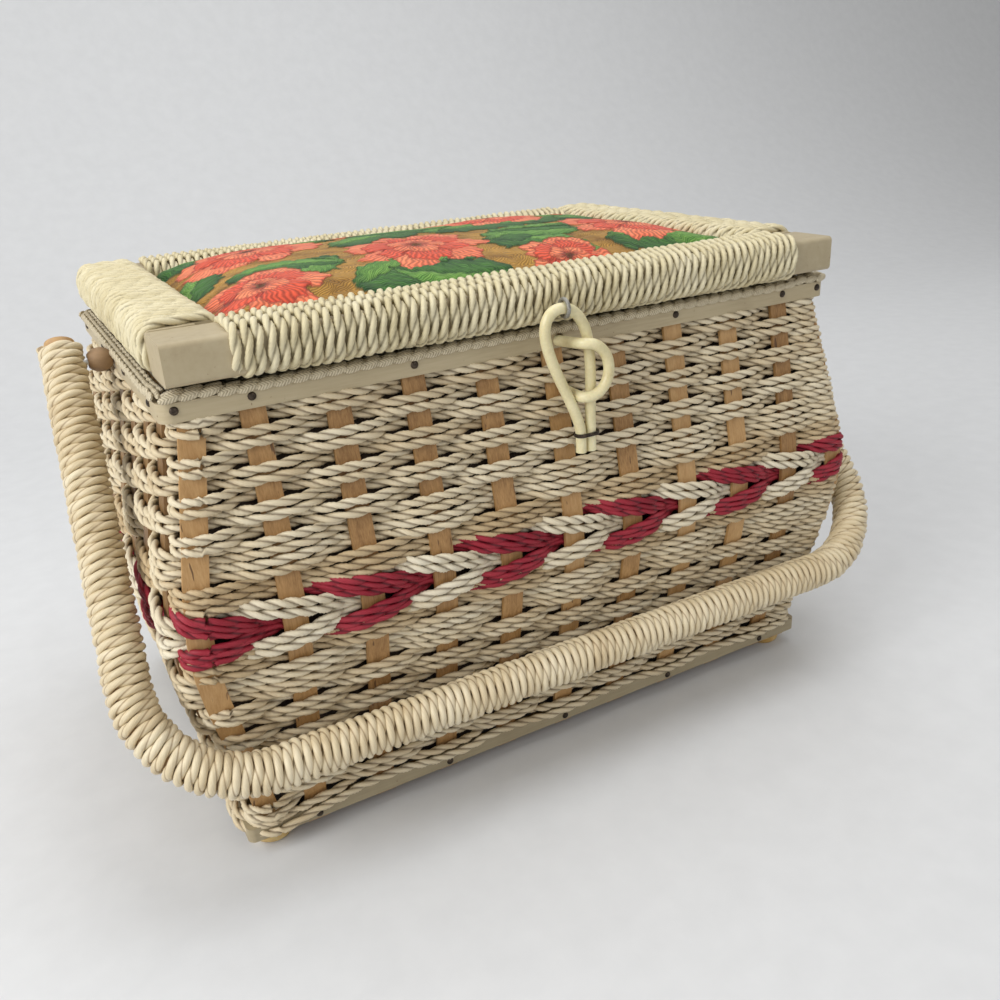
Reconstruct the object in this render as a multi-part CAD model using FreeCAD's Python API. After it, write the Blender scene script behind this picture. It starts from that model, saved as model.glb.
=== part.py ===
import FreeCAD, Part
import math
import os

V = FreeCAD.Vector
os.makedirs("parts", exist_ok=True)

# Driving dimensions in mm. X runs along the front, Y to the back, Z up from the floor.

# Rim hoops
rim_length = 307.0
rim_depth = 191.6
rim_top_z = 197.0
rim_height = 7.0
hoop_thickness = 2.5
hoop_corner_radius = 4.6
inner_hoop_corner_radius = 4.0

# Belly of the wall
belly_z = 107.0
belly_swell = 16.2
belly_radius = 117.0
base_draw = 1.5

# Base
foot_height = 5.0
foot_radius = 8.5
foot_taper = 1.5
foot_inset = 12.0
base_hoop_height = 9.0
base_board_thickness = 5.0
board_corner_radius = 3.0

# Stakes
stake_width = 9.4
stake_thickness = 1.6
stake_pitch = 31.0
front_stake_shift = 2.4
end_stake_pitch = 27.5
stake_end_gap = 2.8
belly_steps = 3

# Woven courses, in cords per course from the top down
upper_course_cords = (2, 2, 2, 2, 2, 2, 2, 4, 3)
lower_course_cords = (3, 4, 2, 2, 2, 2, 2, 2, 2, 2, 2, 2)
course_thickness = 3.0
weave_clearance = 0.2
corner_reach = 2.0
corner_ease = 3.0
arrow_band_height = 17.7
arrow_strands = ("crimson", "natural", "crimson", "natural")

# Lining
lining_thickness = 1.6
lining_clearance = 0.4
lining_jog = 1.5
lining_corner_cut = 4.0

# Gimp braid
gimp_width = 2.3
gimp_height = 2.6

# Nails
nail_head_radius = 1.9
nail_head_height = 0.7

# Lid frame
lid_end_setback = 3.5
lid_overhang = 5.2
lid_gap = 3.0
rail_width = 24.7
rail_height = 15.0
rail_edge_radius = 2.0
lid_wrap_thickness = 3.0
lid_wrap_edge_radius = 4.5
wrap_clearance = 0.15
wrap_lap = 7.0

# Lid filling
lid_board_thickness = 4.0
lid_lining_thickness = 1.5
lid_lining_inset = 3.0
cushion_clearance = 0.3
cushion_side_height = 9.0
cushion_crown = 11.0
cushion_draw = 1.0
crown_height_shares = (0.0, 0.52, 0.82, 0.96, 1.0)
crown_inset_shares = (0.0, 0.12, 0.38, 0.62, 0.8)

# Hinges at the back
hinge_spacing = 183.0
hinge_width = 22.0
hinge_leaf_thickness = 0.9
hinge_barrel_radius = 1.9
hinge_pin_radius = 0.9
hinge_pin_clearance = 0.15
hinge_lid_gap = 0.2
hinge_side_gap = 0.3
hinge_leaf_margin = 0.5

# Handle
handle_reach = 181.0
handle_splay = 13.0
handle_corner_radius = 43.0
handle_core_radius = 6.0
handle_wrap_thickness = 3.0
handle_top_reach = 10.0
handle_rest_gap = 4.0
bead_radius = 5.0
bead_length = 9.5
bead_end_radius = 2.8
bead_clearance = 0.3
pivot_drop = 2.4
pivot_radius = 1.5
pivot_head_radius = 3.4
pivot_head_height = 1.6
pivot_grip = 4.0
bore_clearance = 0.15
tack_radius = 2.4
tack_height = 0.8

# Latch loop and keeper of soft tube
tube_radius = 2.25
tube_gap = 0.5
latch_offset = -1.0
latch_length = 60.5
latch_half_width = 10.8
latch_stand_off = 5.2
latch_drop = 9.0
latch_radius_shares = (1.1, 0.74, 0.55, 0.55, 0.74)
loop_shares = (
    (0.62, 1.0),
    (0.62, 0.81),
    (-0.93, 0.25),
    (-0.52, 0.0),
    (0.68, 0.0),
    (1.07, 0.2),
    (1.07, 1.0),
)
eye_wire_radius = 0.8
eye_clearance = 0.35
eye_shank_length = 12.0
tie_rise = 7.0
tie_height = 1.4
tie_wire = 0.8
tie_clearance = 0.15
keeper_x = 4.8
keeper_width = 12.4
keeper_rise = 20.0
keeper_bow = 1.5
keeper_bend_radius = 4.2
keeper_end_radius = 7.0
keeper_seat_gap = 0.3

# One overrun serves every cut.
overrun = 1.0

# Derived places
rim_bottom_z = rim_top_z - rim_height
base_hoop_top_z = foot_height + base_hoop_height
plane_length = rim_length / 2 - hoop_thickness - stake_thickness / 2
plane_depth = rim_depth / 2 - hoop_thickness - stake_thickness / 2
weave_reach = stake_thickness / 2 + course_thickness / 2 + weave_clearance
weave_swing = weave_reach / (1 - stake_width / end_stake_pitch)
weave_depth = weave_swing + course_thickness / 2
pivot_z = rim_top_z - pivot_drop
rim_mid_z = rim_top_z - rim_height / 2
pivot_x = rim_length / 2 + bead_length + 2 * bead_clearance + handle_core_radius + handle_wrap_thickness
wrap_radius = handle_core_radius + handle_wrap_thickness
lid_length = rim_length - 2 * lid_end_setback
lid_depth = rim_depth + 2 * lid_overhang
lid_wrap_bottom_z = rim_top_z + lid_gap
rail_bottom_z = lid_wrap_bottom_z + lid_wrap_thickness
rail_top_z = rail_bottom_z + rail_height
lid_inner_length = lid_length / 2 - rail_width - lid_wrap_thickness
lid_inner_depth = lid_depth / 2 - rail_width - lid_wrap_thickness
lid_board_z = rail_bottom_z + lid_lining_thickness
lid_front_y = -lid_depth / 2 - lid_wrap_thickness
latch_y = lid_front_y - latch_stand_off
latch_z = lid_wrap_bottom_z + latch_drop
hinge_y = rim_depth / 2 + hinge_leaf_thickness + hinge_barrel_radius
hinge_z = lid_wrap_bottom_z - hinge_lid_gap - hinge_barrel_radius


# The wall's profile: two straight flanks joined by an arc at the belly.
upper_slope = belly_swell / (rim_bottom_z - belly_z)
lower_slope = (belly_swell + base_draw) / (belly_z - base_hoop_top_z)
upper_angle = math.atan(upper_slope)
lower_angle = math.atan(lower_slope)
belly_tangent = belly_radius * math.tan((upper_angle + lower_angle) / 2)
upper_tangent_z = belly_z + belly_tangent * math.cos(upper_angle)
lower_tangent_z = belly_z - belly_tangent * math.cos(lower_angle)
upper_tangent_swell = belly_swell - belly_tangent * math.sin(upper_angle)
belly_centre_swell = upper_tangent_swell - belly_radius * math.cos(upper_angle)
belly_centre_z = upper_tangent_z - belly_radius * math.sin(upper_angle)


def swell(z):
    """How far the stakes' surface stands out from the rim at height z."""
    if z >= rim_bottom_z:
        return 0.0
    if z <= base_hoop_top_z:
        return -base_draw
    if z >= upper_tangent_z:
        return upper_slope * (rim_bottom_z - z)
    if z <= lower_tangent_z:
        return lower_slope * (z - base_hoop_top_z) - base_draw
    rise = z - belly_centre_z
    return belly_centre_swell + math.sqrt(belly_radius ** 2 - rise ** 2)


belly_top_swell = belly_centre_swell + belly_radius
front_wall_reach = plane_depth + belly_top_swell + weave_depth


def grip_gap(lean):
    """Gap between the hanging grip and the woven wall when the handle leans out by this angle."""
    grip_y = handle_reach * math.sin(lean)
    grip_z = pivot_z - handle_reach * math.cos(lean)
    return (grip_y - plane_depth - swell(grip_z) - weave_depth) * math.cos(lower_angle) - wrap_radius


def rest_lean():
    """Lean at which the grip hangs its rest gap away from the wall."""
    low = 0.0
    high = math.pi / 2
    while high - low > 1e-9:
        middle = (low + high) / 2
        if grip_gap(middle) < handle_rest_gap:
            low = middle
        else:
            high = middle
    return high


handle_lean = rest_lean()
front_reach = handle_reach * math.sin(handle_lean) + wrap_radius
frame_shift = (front_reach - front_wall_reach) / 2

# Places of the stakes along the front and along the ends
turn_run = corner_reach + corner_ease
turn_rise = weave_swing + corner_ease
turn_half = course_thickness / 2 * math.hypot(turn_run, turn_rise) / turn_rise
corner_setback = corner_ease - turn_run * (weave_swing - stake_thickness / 2) / turn_rise + turn_half
stake_reach = stake_width / 2 + weave_clearance
front_corner = min(plane_length - corner_setback, rim_length / 2 - hoop_corner_radius) - stake_reach
end_corner = plane_depth - weave_swing - course_thickness / 2 - corner_ease - stake_reach
front_room = front_corner - base_draw - front_stake_shift
front_count = int((front_room - 2 * stake_reach - stake_end_gap) / stake_pitch)
end_count = int((end_corner - base_draw - 2 * stake_reach - stake_end_gap) / end_stake_pitch)


def stake_places(pitch, count, corner, shift):
    """Stake places along one side as (place, index) pairs, corner stakes included."""
    places = [(shift + i * pitch, i) for i in range(-count, count + 1)]
    return [(-corner, -count - 1)] + places + [(corner, count + 1)]


front_places = stake_places(stake_pitch, front_count, front_corner, front_stake_shift)
end_places = stake_places(end_stake_pitch, end_count, end_corner, 0)
end_phase = (front_count + end_count + 1) % 2


def parity(index):
    return 1 if index % 2 == 0 else -1


# Solids from planes and profiles
def export(node, *solids):
    """Stand the solids in the part's frame and write them as one node."""
    shape = solids[0] if len(solids) == 1 else Part.makeCompound(list(solids))
    shape = shape.copy()
    shape.translate(V(0, frame_shift, 0))
    shape.exportStep("parts/" + node + ".step")


def polygon(points):
    return Part.makePolygon(list(points) + [points[0]])


def closed_solid(faces):
    solid = Part.Solid(Part.Shell(faces))
    if solid.Volume < 0:
        solid.reverse()
    return solid


def side_faces(lower, upper):
    """Flat faces between two level outlines with matching corners."""
    faces = []
    for i in range(len(lower)):
        j = (i + 1) % len(lower)
        faces.append(Part.Face(polygon([lower[i], lower[j], upper[j], upper[i]])))
    return faces


def stacked_solid(outlines):
    """Closed solid through a stack of level outlines."""
    faces = [Part.Face(polygon(outlines[0])), Part.Face(polygon(outlines[-1]))]
    for lower, upper in zip(outlines, outlines[1:]):
        faces += side_faces(lower, upper)
    return closed_solid(faces)


def rounded_outline(half_x, half_y, radius, z):
    """Rounded rectangle as a closed wire."""
    inner_x = half_x - radius
    inner_y = half_y - radius
    mid = radius * math.sqrt(0.5)
    edges = []
    turns = ((1, -1, 0), (1, 1, 1), (-1, 1, 0), (-1, -1, 1))
    points = []
    for sx, sy, swap in turns:
        first = V(sx * inner_x, sy * half_y, z)
        second = V(sx * half_x, sy * inner_y, z)
        middle = V(sx * (inner_x + mid), sy * (inner_y + mid), z)
        points.append((second, middle, first) if swap else (first, middle, second))
    for i, (first, middle, second) in enumerate(points):
        edges.append(Part.Arc(first, middle, second).toShape())
        edges.append(Part.LineSegment(second, points[(i + 1) % len(points)][0]).toShape())
    return Part.Wire(edges)


def slab(half_x, half_y, radius, z, height):
    return Part.Face(rounded_outline(half_x, half_y, radius, z)).extrude(V(0, 0, height))


def hoop(half_x, half_y, radius, z, height, thickness):
    """Bent strip: a rounded rectangular band, open in the middle."""
    outer = slab(half_x, half_y, radius, z, height)
    inner = slab(half_x - thickness, half_y - thickness, radius - thickness, z - overrun, height + 2 * overrun)
    return outer.cut(inner)


def block(x0, x1, y0, y1, z0, z1):
    return Part.makeBox(x1 - x0, y1 - y0, z1 - z0, V(x0, y0, z0))


def rod(start, end, radius):
    way = end - start
    return Part.makeCylinder(radius, way.Length, start, way)


def rounded_path(points, radii):
    """Straight runs joined by tangent arcs, one radius for each inner point."""
    edges = []
    last = points[0]
    for i in range(1, len(points) - 1):
        way_in = (points[i] - points[i - 1]).normalize()
        way_out = (points[i + 1] - points[i]).normalize()
        turn = way_in.getAngle(way_out)
        reach = radii[i - 1] * math.tan(turn / 2)
        start = points[i] - way_in * reach
        end = points[i] + way_out * reach
        side = (way_out - way_in * way_in.dot(way_out)).normalize()
        centre = start + side * radii[i - 1]
        middle = centre + (points[i] - centre).normalize() * radii[i - 1]
        edges.append(Part.LineSegment(last, start).toShape())
        edges.append(Part.Arc(start, middle, end).toShape())
        last = end
    edges.append(Part.LineSegment(last, points[-1]).toShape())
    return Part.Wire(edges)


def tube(path, radius):
    """Round bar along a path of lines and tangent arcs."""
    first = path.OrderedEdges[0]
    start = first.valueAt(first.FirstParameter)
    circle = Part.Wire(Part.Circle(start, first.tangentAt(first.FirstParameter), radius).toShape())
    return path.makePipeShell([circle], True, False)


# Woven courses: zigzag rings that pass before one stake and behind the next
def side_run(places, corner, count, phase, sign):
    """One side's turning points as (place, offset) pairs, from corner to corner."""
    run = []
    for place, index in places:
        swing = sign * parity(index + phase) * weave_swing
        if index == -count - 1:
            run.append((-corner + stake_reach, swing))
        elif index == count + 1:
            run.append((corner - stake_reach, swing))
        else:
            run.append((place, swing))
        if index == count:
            run.append((place + stake_reach, swing))
        elif index == -count:
            run.insert(-1, (place - stake_reach, swing))
    return run


def corner_points(half_x, half_y, front_swing):
    """Turning points round one eased corner, from the long side to the end."""
    if front_swing > 0:
        return [
            (half_x - corner_ease, half_y + front_swing),
            (half_x + corner_reach, half_y - corner_ease),
            (half_x - front_swing, half_y - front_swing - corner_ease),
        ]
    return [
        (half_x - front_swing - corner_ease, half_y + front_swing),
        (half_x - front_swing, half_y + front_swing - corner_ease),
    ]


def course_line(z, fan, sign):
    """Centre line of a course at height z, counter-clockwise from the front left."""
    half_x = plane_length + swell(z)
    half_y = plane_depth + swell(z)
    front = side_run(front_places, front_corner + fan, front_count, 0, sign)
    end = side_run(end_places, end_corner + fan, end_count, end_phase, sign)
    corner = corner_points(half_x, half_y, front[0][1])
    line = [(u, -half_y - s) for u, s in front]
    line += [(x, -y) for x, y in corner]
    line += [(half_x + s, u) for u, s in end]
    line += [(x, y) for x, y in reversed(corner)]
    line += [(-u, half_y + s) for u, s in front]
    line += [(-x, y) for x, y in corner]
    line += [(-half_x - s, -u) for u, s in end]
    line += [(-x, -y) for x, y in reversed(corner)]
    return line


def offset_outline(line, distance, z):
    """Parallel outline outside a counter-clockwise line, with mitred corners."""
    outline = []
    for i, (x, y) in enumerate(line):
        before = line[i - 1]
        after = line[(i + 1) % len(line)]
        way_in = V(x - before[0], y - before[1], 0).normalize()
        way_out = V(after[0] - x, after[1] - y, 0).normalize()
        normal_in = V(way_in.y, -way_in.x, 0)
        normal_out = V(way_out.y, -way_out.x, 0)
        mitre = (normal_in + normal_out) * (distance / (1 + normal_in.dot(normal_out)))
        outline.append(V(x, y, z) + mitre)
    return outline


def course(top_z, bottom_z, sign):
    """One woven course as a zigzag ring that follows the belly."""
    half = course_thickness / 2
    fan = swell((bottom_z + top_z) / 2)
    outer = [offset_outline(course_line(z, fan, sign), half, z) for z in (bottom_z, top_z)]
    inner = [offset_outline(course_line(z, fan, sign), -half, z) for z in (bottom_z, top_z)]
    faces = side_faces(*outer) + side_faces(*inner)
    for ring, hole in zip(outer, inner):
        faces.append(Part.makeFace([polygon(ring), polygon(hole)], "Part::FaceMakerBullseye"))
    return closed_solid(faces)


def woven_wall():
    cords = sum(upper_course_cords) + sum(lower_course_cords)
    cord_rise = (rim_bottom_z - base_hoop_top_z - arrow_band_height) / cords
    strand_rise = arrow_band_height / len(arrow_strands)
    z = rim_bottom_z
    sign = -1
    upper = []
    for count in upper_course_cords:
        upper.append(course(z, z - count * cord_rise, sign))
        z -= count * cord_rise
        sign = -sign
    strands = {"crimson": [], "natural": []}
    for colour in arrow_strands:
        strand_sign = -1 if colour == "crimson" else 1
        strands[colour].append(course(z, z - strand_rise, strand_sign))
        z -= strand_rise
    sign = -1
    lower = []
    for count in lower_course_cords:
        lower.append(course(z, z - count * cord_rise, sign))
        z -= count * cord_rise
        sign = -sign
    export("upper_courses", *upper)
    export("arrow_crimson", *strands["crimson"])
    export("arrow_natural", *strands["natural"])
    export("lower_courses", *lower)


# Stakes: flat slats bent along the belly
def stake_profile(half, side):
    """One face line of a stake as edges in the plane of its bend, from the top down."""
    def point(z):
        return V(0, -(half + swell(z) + side * stake_thickness / 2), z)
    return [
        Part.LineSegment(point(rim_top_z), point(rim_bottom_z)).toShape(),
        Part.LineSegment(point(rim_bottom_z), point(upper_tangent_z)).toShape(),
        Part.Arc(point(upper_tangent_z), point(belly_centre_z), point(lower_tangent_z)).toShape(),
        Part.LineSegment(point(lower_tangent_z), point(base_hoop_top_z)).toShape(),
        Part.LineSegment(point(base_hoop_top_z), point(foot_height)).toShape(),
    ]


def stake(half):
    """A stake of the front wall, centred on X = 0."""
    outer = stake_profile(half, 1)
    inner = stake_profile(half, -1)
    ends = []
    for place in (0, -1):
        start = outer[place].Vertexes[place].Point
        end = inner[place].Vertexes[place].Point
        ends.append(Part.LineSegment(start, end).toShape())
    wire = Part.Wire(Part.__sortEdges__(outer + inner + ends))
    slat = Part.Face(wire).extrude(V(stake_width, 0, 0))
    slat.translate(V(-stake_width / 2, 0, 0))
    return slat


def corner_stake(half, side):
    """A corner stake of the front wall, which fans out to the side with the belly."""
    belly_rise = (upper_tangent_z - lower_tangent_z) / (belly_steps + 1)
    levels = [foot_height, base_hoop_top_z, lower_tangent_z]
    levels += [lower_tangent_z + (i + 1) * belly_rise for i in range(belly_steps)]
    levels += [upper_tangent_z, rim_bottom_z, rim_top_z]
    outlines = []
    for z in levels:
        near = -(half + swell(z) - stake_thickness / 2)
        far = near - stake_thickness
        left = side * swell(z) - stake_width / 2
        right = left + stake_width
        outlines.append([V(left, far, z), V(right, far, z), V(right, near, z), V(left, near, z)])
    return stacked_solid(outlines)


def stakes():
    long_stake = stake(plane_depth)
    end_stake = stake(plane_length)
    long_corners = {side: corner_stake(plane_depth, side) for side in (-1, 1)}
    end_corners = {side: corner_stake(plane_length, side) for side in (-1, 1)}
    pivot_bore = rod(V(0, 0, pivot_z), V(0, -rim_length, pivot_z), pivot_radius + bore_clearance)
    groups = {"front_stakes": [], "back_stakes": [], "left_stakes": [], "right_stakes": []}
    for place, index in front_places:
        for node, turn in (("front_stakes", 0), ("back_stakes", 180)):
            slat = long_stake.copy()
            if abs(index) > front_count:
                slat = long_corners[math.copysign(1, index)].copy()
            slat.translate(V(place, 0, 0))
            slat.rotate(V(0, 0, 0), V(0, 0, 1), turn)
            groups[node].append(slat)
    for place, index in end_places:
        for node, turn in (("right_stakes", 90), ("left_stakes", -90)):
            slat = end_stake.copy()
            if abs(index) > end_count:
                slat = end_corners[math.copysign(1, index)].copy()
            if index == 0:
                slat = slat.cut(pivot_bore)
            slat.translate(V(place, 0, 0))
            slat.rotate(V(0, 0, 0), V(0, 0, 1), turn)
            groups[node].append(slat)
    for node, slats in groups.items():
        export(node, *slats)


# Hoops, base and lining
def pivot_line(start_x, end_x, radius):
    """A pair of rods on the handle's pivot line, one at each end."""
    right = rod(V(start_x, 0, pivot_z), V(end_x, 0, pivot_z), radius)
    left = rod(V(-start_x, 0, pivot_z), V(-end_x, 0, pivot_z), radius)
    return right, left


def hoops():
    outer = hoop(rim_length / 2, rim_depth / 2, hoop_corner_radius, rim_bottom_z, rim_height, hoop_thickness)
    inner = hoop(
        plane_length - stake_thickness / 2,
        plane_depth - stake_thickness / 2,
        inner_hoop_corner_radius,
        rim_bottom_z,
        rim_height,
        hoop_thickness,
    )
    inner_face = plane_length - stake_thickness / 2 - hoop_thickness
    for bore in pivot_line(inner_face - overrun, rim_length / 2 + overrun, pivot_radius + bore_clearance):
        outer = outer.cut(bore)
        inner = inner.cut(bore)
    seat_end = inner_face + pivot_head_height + bore_clearance
    for seat in pivot_line(inner_face - overrun, seat_end, pivot_head_radius + bore_clearance):
        inner = inner.cut(seat)
    keeper_bore = rod(
        V(keeper_x, -rim_depth / 2 - overrun, rim_mid_z),
        V(keeper_x, -rim_depth / 2 + hoop_thickness + overrun / 2, rim_mid_z),
        tube_radius + bore_clearance,
    )
    export("rim_hoop", outer.cut(keeper_bore))
    export("inner_hoop", inner)
    base = hoop(
        rim_length / 2 - base_draw,
        rim_depth / 2 - base_draw,
        hoop_corner_radius - base_draw,
        foot_height,
        base_hoop_height,
        hoop_thickness,
    )
    export("base_hoop", base)
    gimp = hoop(rim_length / 2, rim_depth / 2, hoop_corner_radius, rim_top_z, gimp_height, gimp_width)
    export("gimp_braid", gimp)


def base():
    half_x = plane_length - base_draw - stake_thickness / 2
    half_y = plane_depth - base_draw - stake_thickness / 2
    export("base_board", slab(half_x, half_y, board_corner_radius, foot_height, base_board_thickness))
    feet = []
    for sx in (-1, 1):
        for sy in (-1, 1):
            centre = V(sx * (half_x - foot_inset), sy * (half_y - foot_inset), 0)
            feet.append(Part.makeCone(foot_radius - foot_taper, foot_radius, foot_height, centre))
    export("feet", *feet)


def lining_outline(inset, z):
    """Level outline inside the wall, with its corners cut."""
    half_x = plane_length + swell(z) - inset
    half_y = plane_depth + swell(z) - inset
    cut_x = half_x - lining_corner_cut
    cut_y = half_y - lining_corner_cut
    corners = (
        (-cut_x, -half_y), (cut_x, -half_y), (half_x, -cut_y), (half_x, cut_y),
        (cut_x, half_y), (-cut_x, half_y), (-half_x, cut_y), (-half_x, -cut_y),
    )
    return [V(x, y, z) for x, y in corners]


def lining():
    rim_inset = stake_thickness / 2 + hoop_thickness
    wall_inset = weave_depth + lining_clearance
    floor_z = foot_height + base_board_thickness
    levels = [
        (floor_z, wall_inset),
        (base_hoop_top_z, wall_inset),
        (lower_tangent_z, wall_inset),
        (belly_centre_z, wall_inset),
        (upper_tangent_z, wall_inset),
        (rim_bottom_z, wall_inset),
        (rim_bottom_z + lining_jog, rim_inset),
        (rim_top_z, rim_inset),
    ]
    outer = stacked_solid([lining_outline(inset, z) for z, inset in levels])
    inner_levels = [lining_outline(inset + lining_thickness, z) for z, inset in levels]
    inner_levels[0] = [V(p.x, p.y, floor_z + lining_thickness) for p in inner_levels[0]]
    inner_levels.append([V(p.x, p.y, p.z + overrun) for p in inner_levels[-1]])
    export("lining", outer.cut(stacked_solid(inner_levels)))


def nail(x, y, z, way):
    return Part.makeCylinder(nail_head_radius, nail_head_height, V(x, y, z), way)


def nails():
    """Nail heads on the hoops, at every second stake and the rim's corner stakes, but not where the keeper starts."""
    rim = []
    low = []
    base_z = foot_height + base_hoop_height / 2
    for place, index in front_places:
        for side in (-1, 1):
            at_keeper = side < 0 and index == 0
            if (index % 2 == 0 or abs(index) > front_count) and not at_keeper:
                rim.append(nail(-side * place, side * rim_depth / 2, rim_mid_z, V(0, side, 0)))
            if index % 2 == 0:
                low.append(nail(-side * place, side * (rim_depth / 2 - base_draw), base_z, V(0, side, 0)))
    for place, index in end_places:
        for side in (-1, 1):
            if parity(index + end_phase) < 0:
                continue
            if index:
                rim.append(nail(side * rim_length / 2, place, rim_mid_z, V(side, 0, 0)))
            if abs(index) <= end_count:
                low.append(nail(side * (rim_length / 2 - base_draw), place, base_z, V(side, 0, 0)))
    export("rim_nails", *rim)
    export("base_nails", *low)


# Lid
def rounded_bar(x0, x1, y0, y1, z0, z1, radius, axis):
    """Bar with its long edges rounded."""
    bar = block(x0, x1, y0, y1, z0, z1)
    edges = []
    for edge in bar.Edges:
        way = edge.Vertexes[1].Point - edge.Vertexes[0].Point
        if abs(way.normalize().dot(axis)) > 0.5:
            edges.append(edge)
    return bar.makeFillet(radius, edges)


def sleeve(x0, x1, y0, y1, axis):
    """Cord wrap round a rail: a sleeve with the rail's section as its bore."""
    t = lid_wrap_thickness
    c = wrap_clearance
    skin_x = 0 if axis.x else t
    skin_y = 0 if axis.y else t
    bore_x = overrun if axis.x else c
    bore_y = overrun if axis.y else c
    outer = rounded_bar(
        x0 - skin_x, x1 + skin_x, y0 - skin_y, y1 + skin_y,
        rail_bottom_z - t, rail_top_z + t, lid_wrap_edge_radius, axis,
    )
    bore = rounded_bar(
        x0 - bore_x, x1 + bore_x, y0 - bore_y, y1 + bore_y,
        rail_bottom_z - c, rail_top_z + c, rail_edge_radius, axis,
    )
    return outer.cut(bore)


def lid_frame():
    along_x = V(1, 0, 0)
    along_y = V(0, 1, 0)
    half_x = lid_length / 2
    half_y = lid_depth / 2
    inner_x = half_x - rail_width
    inner_y = half_y - rail_width
    wrap_end = inner_x + wrap_lap
    notch_end = wrap_end + wrap_clearance
    bore_start = V(latch_offset, latch_y, latch_z)
    bore_end = bore_start + V(0, eye_shank_length, 0)
    eye_bore = rod(bore_start, bore_end + V(0, bore_clearance, 0), eye_wire_radius + bore_clearance)
    room = lid_wrap_thickness + wrap_clearance
    for name, side in (("front", -1), ("back", 1)):
        y0, y1 = sorted((side * half_y, side * inner_y))
        rail = rounded_bar(-half_x, half_x, y0, y1, rail_bottom_z, rail_top_z, rail_edge_radius, along_x)
        wrap = sleeve(-wrap_end, wrap_end, y0, y1, along_x)
        if name == "front":
            rail = rail.cut(eye_bore)
            wrap = wrap.cut(eye_bore)
        export("lid_" + name + "_rail", rail)
        export("lid_" + name + "_wrap", wrap)
    for name, side in (("left", -1), ("right", 1)):
        x0, x1 = sorted((side * half_x, side * inner_x))
        rail = rounded_bar(x0, x1, -inner_y, inner_y, rail_bottom_z, rail_top_z, rail_edge_radius, along_y)
        wrap = sleeve(x0, x1, -inner_y, inner_y, along_y)
        for end in (-1, 1):
            n0, n1 = sorted((end * (inner_y - room), end * (inner_y + overrun)))
            w0, w1 = sorted((side * (inner_x - room - overrun), side * notch_end))
            notch = block(w0, w1, n0, n1, rail_bottom_z - room - overrun, rail_top_z + room + overrun)
            rail = rail.cut(notch)
            wrap = wrap.cut(notch)
        export("lid_" + name + "_rail", rail)
        export("lid_" + name + "_wrap", wrap)


def cushion_outline(inset, z):
    """Pad outline with its sides drawn in between the corners."""
    half_x = lid_inner_length - cushion_clearance - inset
    half_y = lid_inner_depth - cushion_clearance - inset
    corners = [V(-half_x, -half_y, z), V(half_x, -half_y, z), V(half_x, half_y, z), V(-half_x, half_y, z)]
    edges = []
    for i, start in enumerate(corners):
        end = corners[(i + 1) % len(corners)]
        middle = (start + end) * 0.5
        inward = V(-middle.x, -middle.y, 0).normalize()
        edges.append(Part.Arc(start, middle + inward * cushion_draw, end).toShape())
    return Part.Wire(edges)


def lid_filling():
    panel = block(-lid_inner_length, lid_inner_length, -lid_inner_depth, lid_inner_depth,
                  lid_board_z, lid_board_z + lid_board_thickness)
    export("lid_board", panel)
    half_x = lid_inner_length - lid_lining_inset
    half_y = lid_inner_depth - lid_lining_inset
    export("lid_lining", block(-half_x, half_x, -half_y, half_y, rail_bottom_z, lid_board_z))
    seat_z = lid_board_z + lid_board_thickness
    edge_z = seat_z + cushion_side_height
    side = Part.makeLoft([cushion_outline(0, seat_z), cushion_outline(0, edge_z)], True, True)
    sections = []
    for height, inset in zip(crown_height_shares, crown_inset_shares):
        sections.append(cushion_outline(inset * lid_inner_depth, edge_z + height * cushion_crown))
    crown = Part.makeLoft(sections, True, False)
    export("lid_cushion", side.fuse(crown).removeSplitter())


# Hinges
def hinge_set(x):
    """Rim leaf, lid leaf and pin of one hinge, with the rim leaf's knuckles at both sides."""
    left = x - hinge_width / 2
    knuckle = hinge_width / 3
    turns = []
    for start, end in ((0, 1), (1, 2), (2, 3)):
        x0 = left + start * knuckle + (hinge_side_gap / 2 if start else 0)
        x1 = left + end * knuckle - (hinge_side_gap / 2 if end < 3 else 0)
        turns.append((x0, x1))
    bore = rod(
        V(left - overrun, hinge_y, hinge_z),
        V(left + hinge_width + overrun, hinge_y, hinge_z),
        hinge_pin_radius + hinge_pin_clearance,
    )
    face_y = rim_depth / 2
    leaf = block(left, left + hinge_width, face_y, face_y + hinge_leaf_thickness,
                 rim_bottom_z + hinge_leaf_margin, rim_top_z - hinge_leaf_margin)
    for x0, x1 in (turns[0], turns[2]):
        leaf = leaf.fuse(rod(V(x0, hinge_y, hinge_z), V(x1, hinge_y, hinge_z), hinge_barrel_radius))
        leaf = leaf.fuse(block(x0, x1, face_y, hinge_y, rim_top_z - 2 * hinge_leaf_margin, hinge_z))
    x0, x1 = turns[1]
    lid_leaf = block(left, left + hinge_width, hinge_y, lid_depth / 2 + lid_wrap_thickness - lid_wrap_edge_radius,
                     lid_wrap_bottom_z - hinge_leaf_thickness, lid_wrap_bottom_z)
    clear = hinge_barrel_radius + hinge_side_gap
    for s0, s1 in (turns[0], turns[2]):
        swept = rod(V(s0 - overrun, hinge_y, hinge_z), V(s1 + overrun, hinge_y, hinge_z), clear)
        lid_leaf = lid_leaf.cut(swept)
    web = block(x0, x1, hinge_y, hinge_y + hinge_barrel_radius, hinge_z, lid_wrap_bottom_z)
    lid_leaf = lid_leaf.fuse(rod(V(x0, hinge_y, hinge_z), V(x1, hinge_y, hinge_z), hinge_barrel_radius)).fuse(web)
    pin = rod(V(left, hinge_y, hinge_z), V(left + hinge_width, hinge_y, hinge_z), hinge_pin_radius)
    return leaf.cut(bore), lid_leaf.cut(bore), pin


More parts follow.
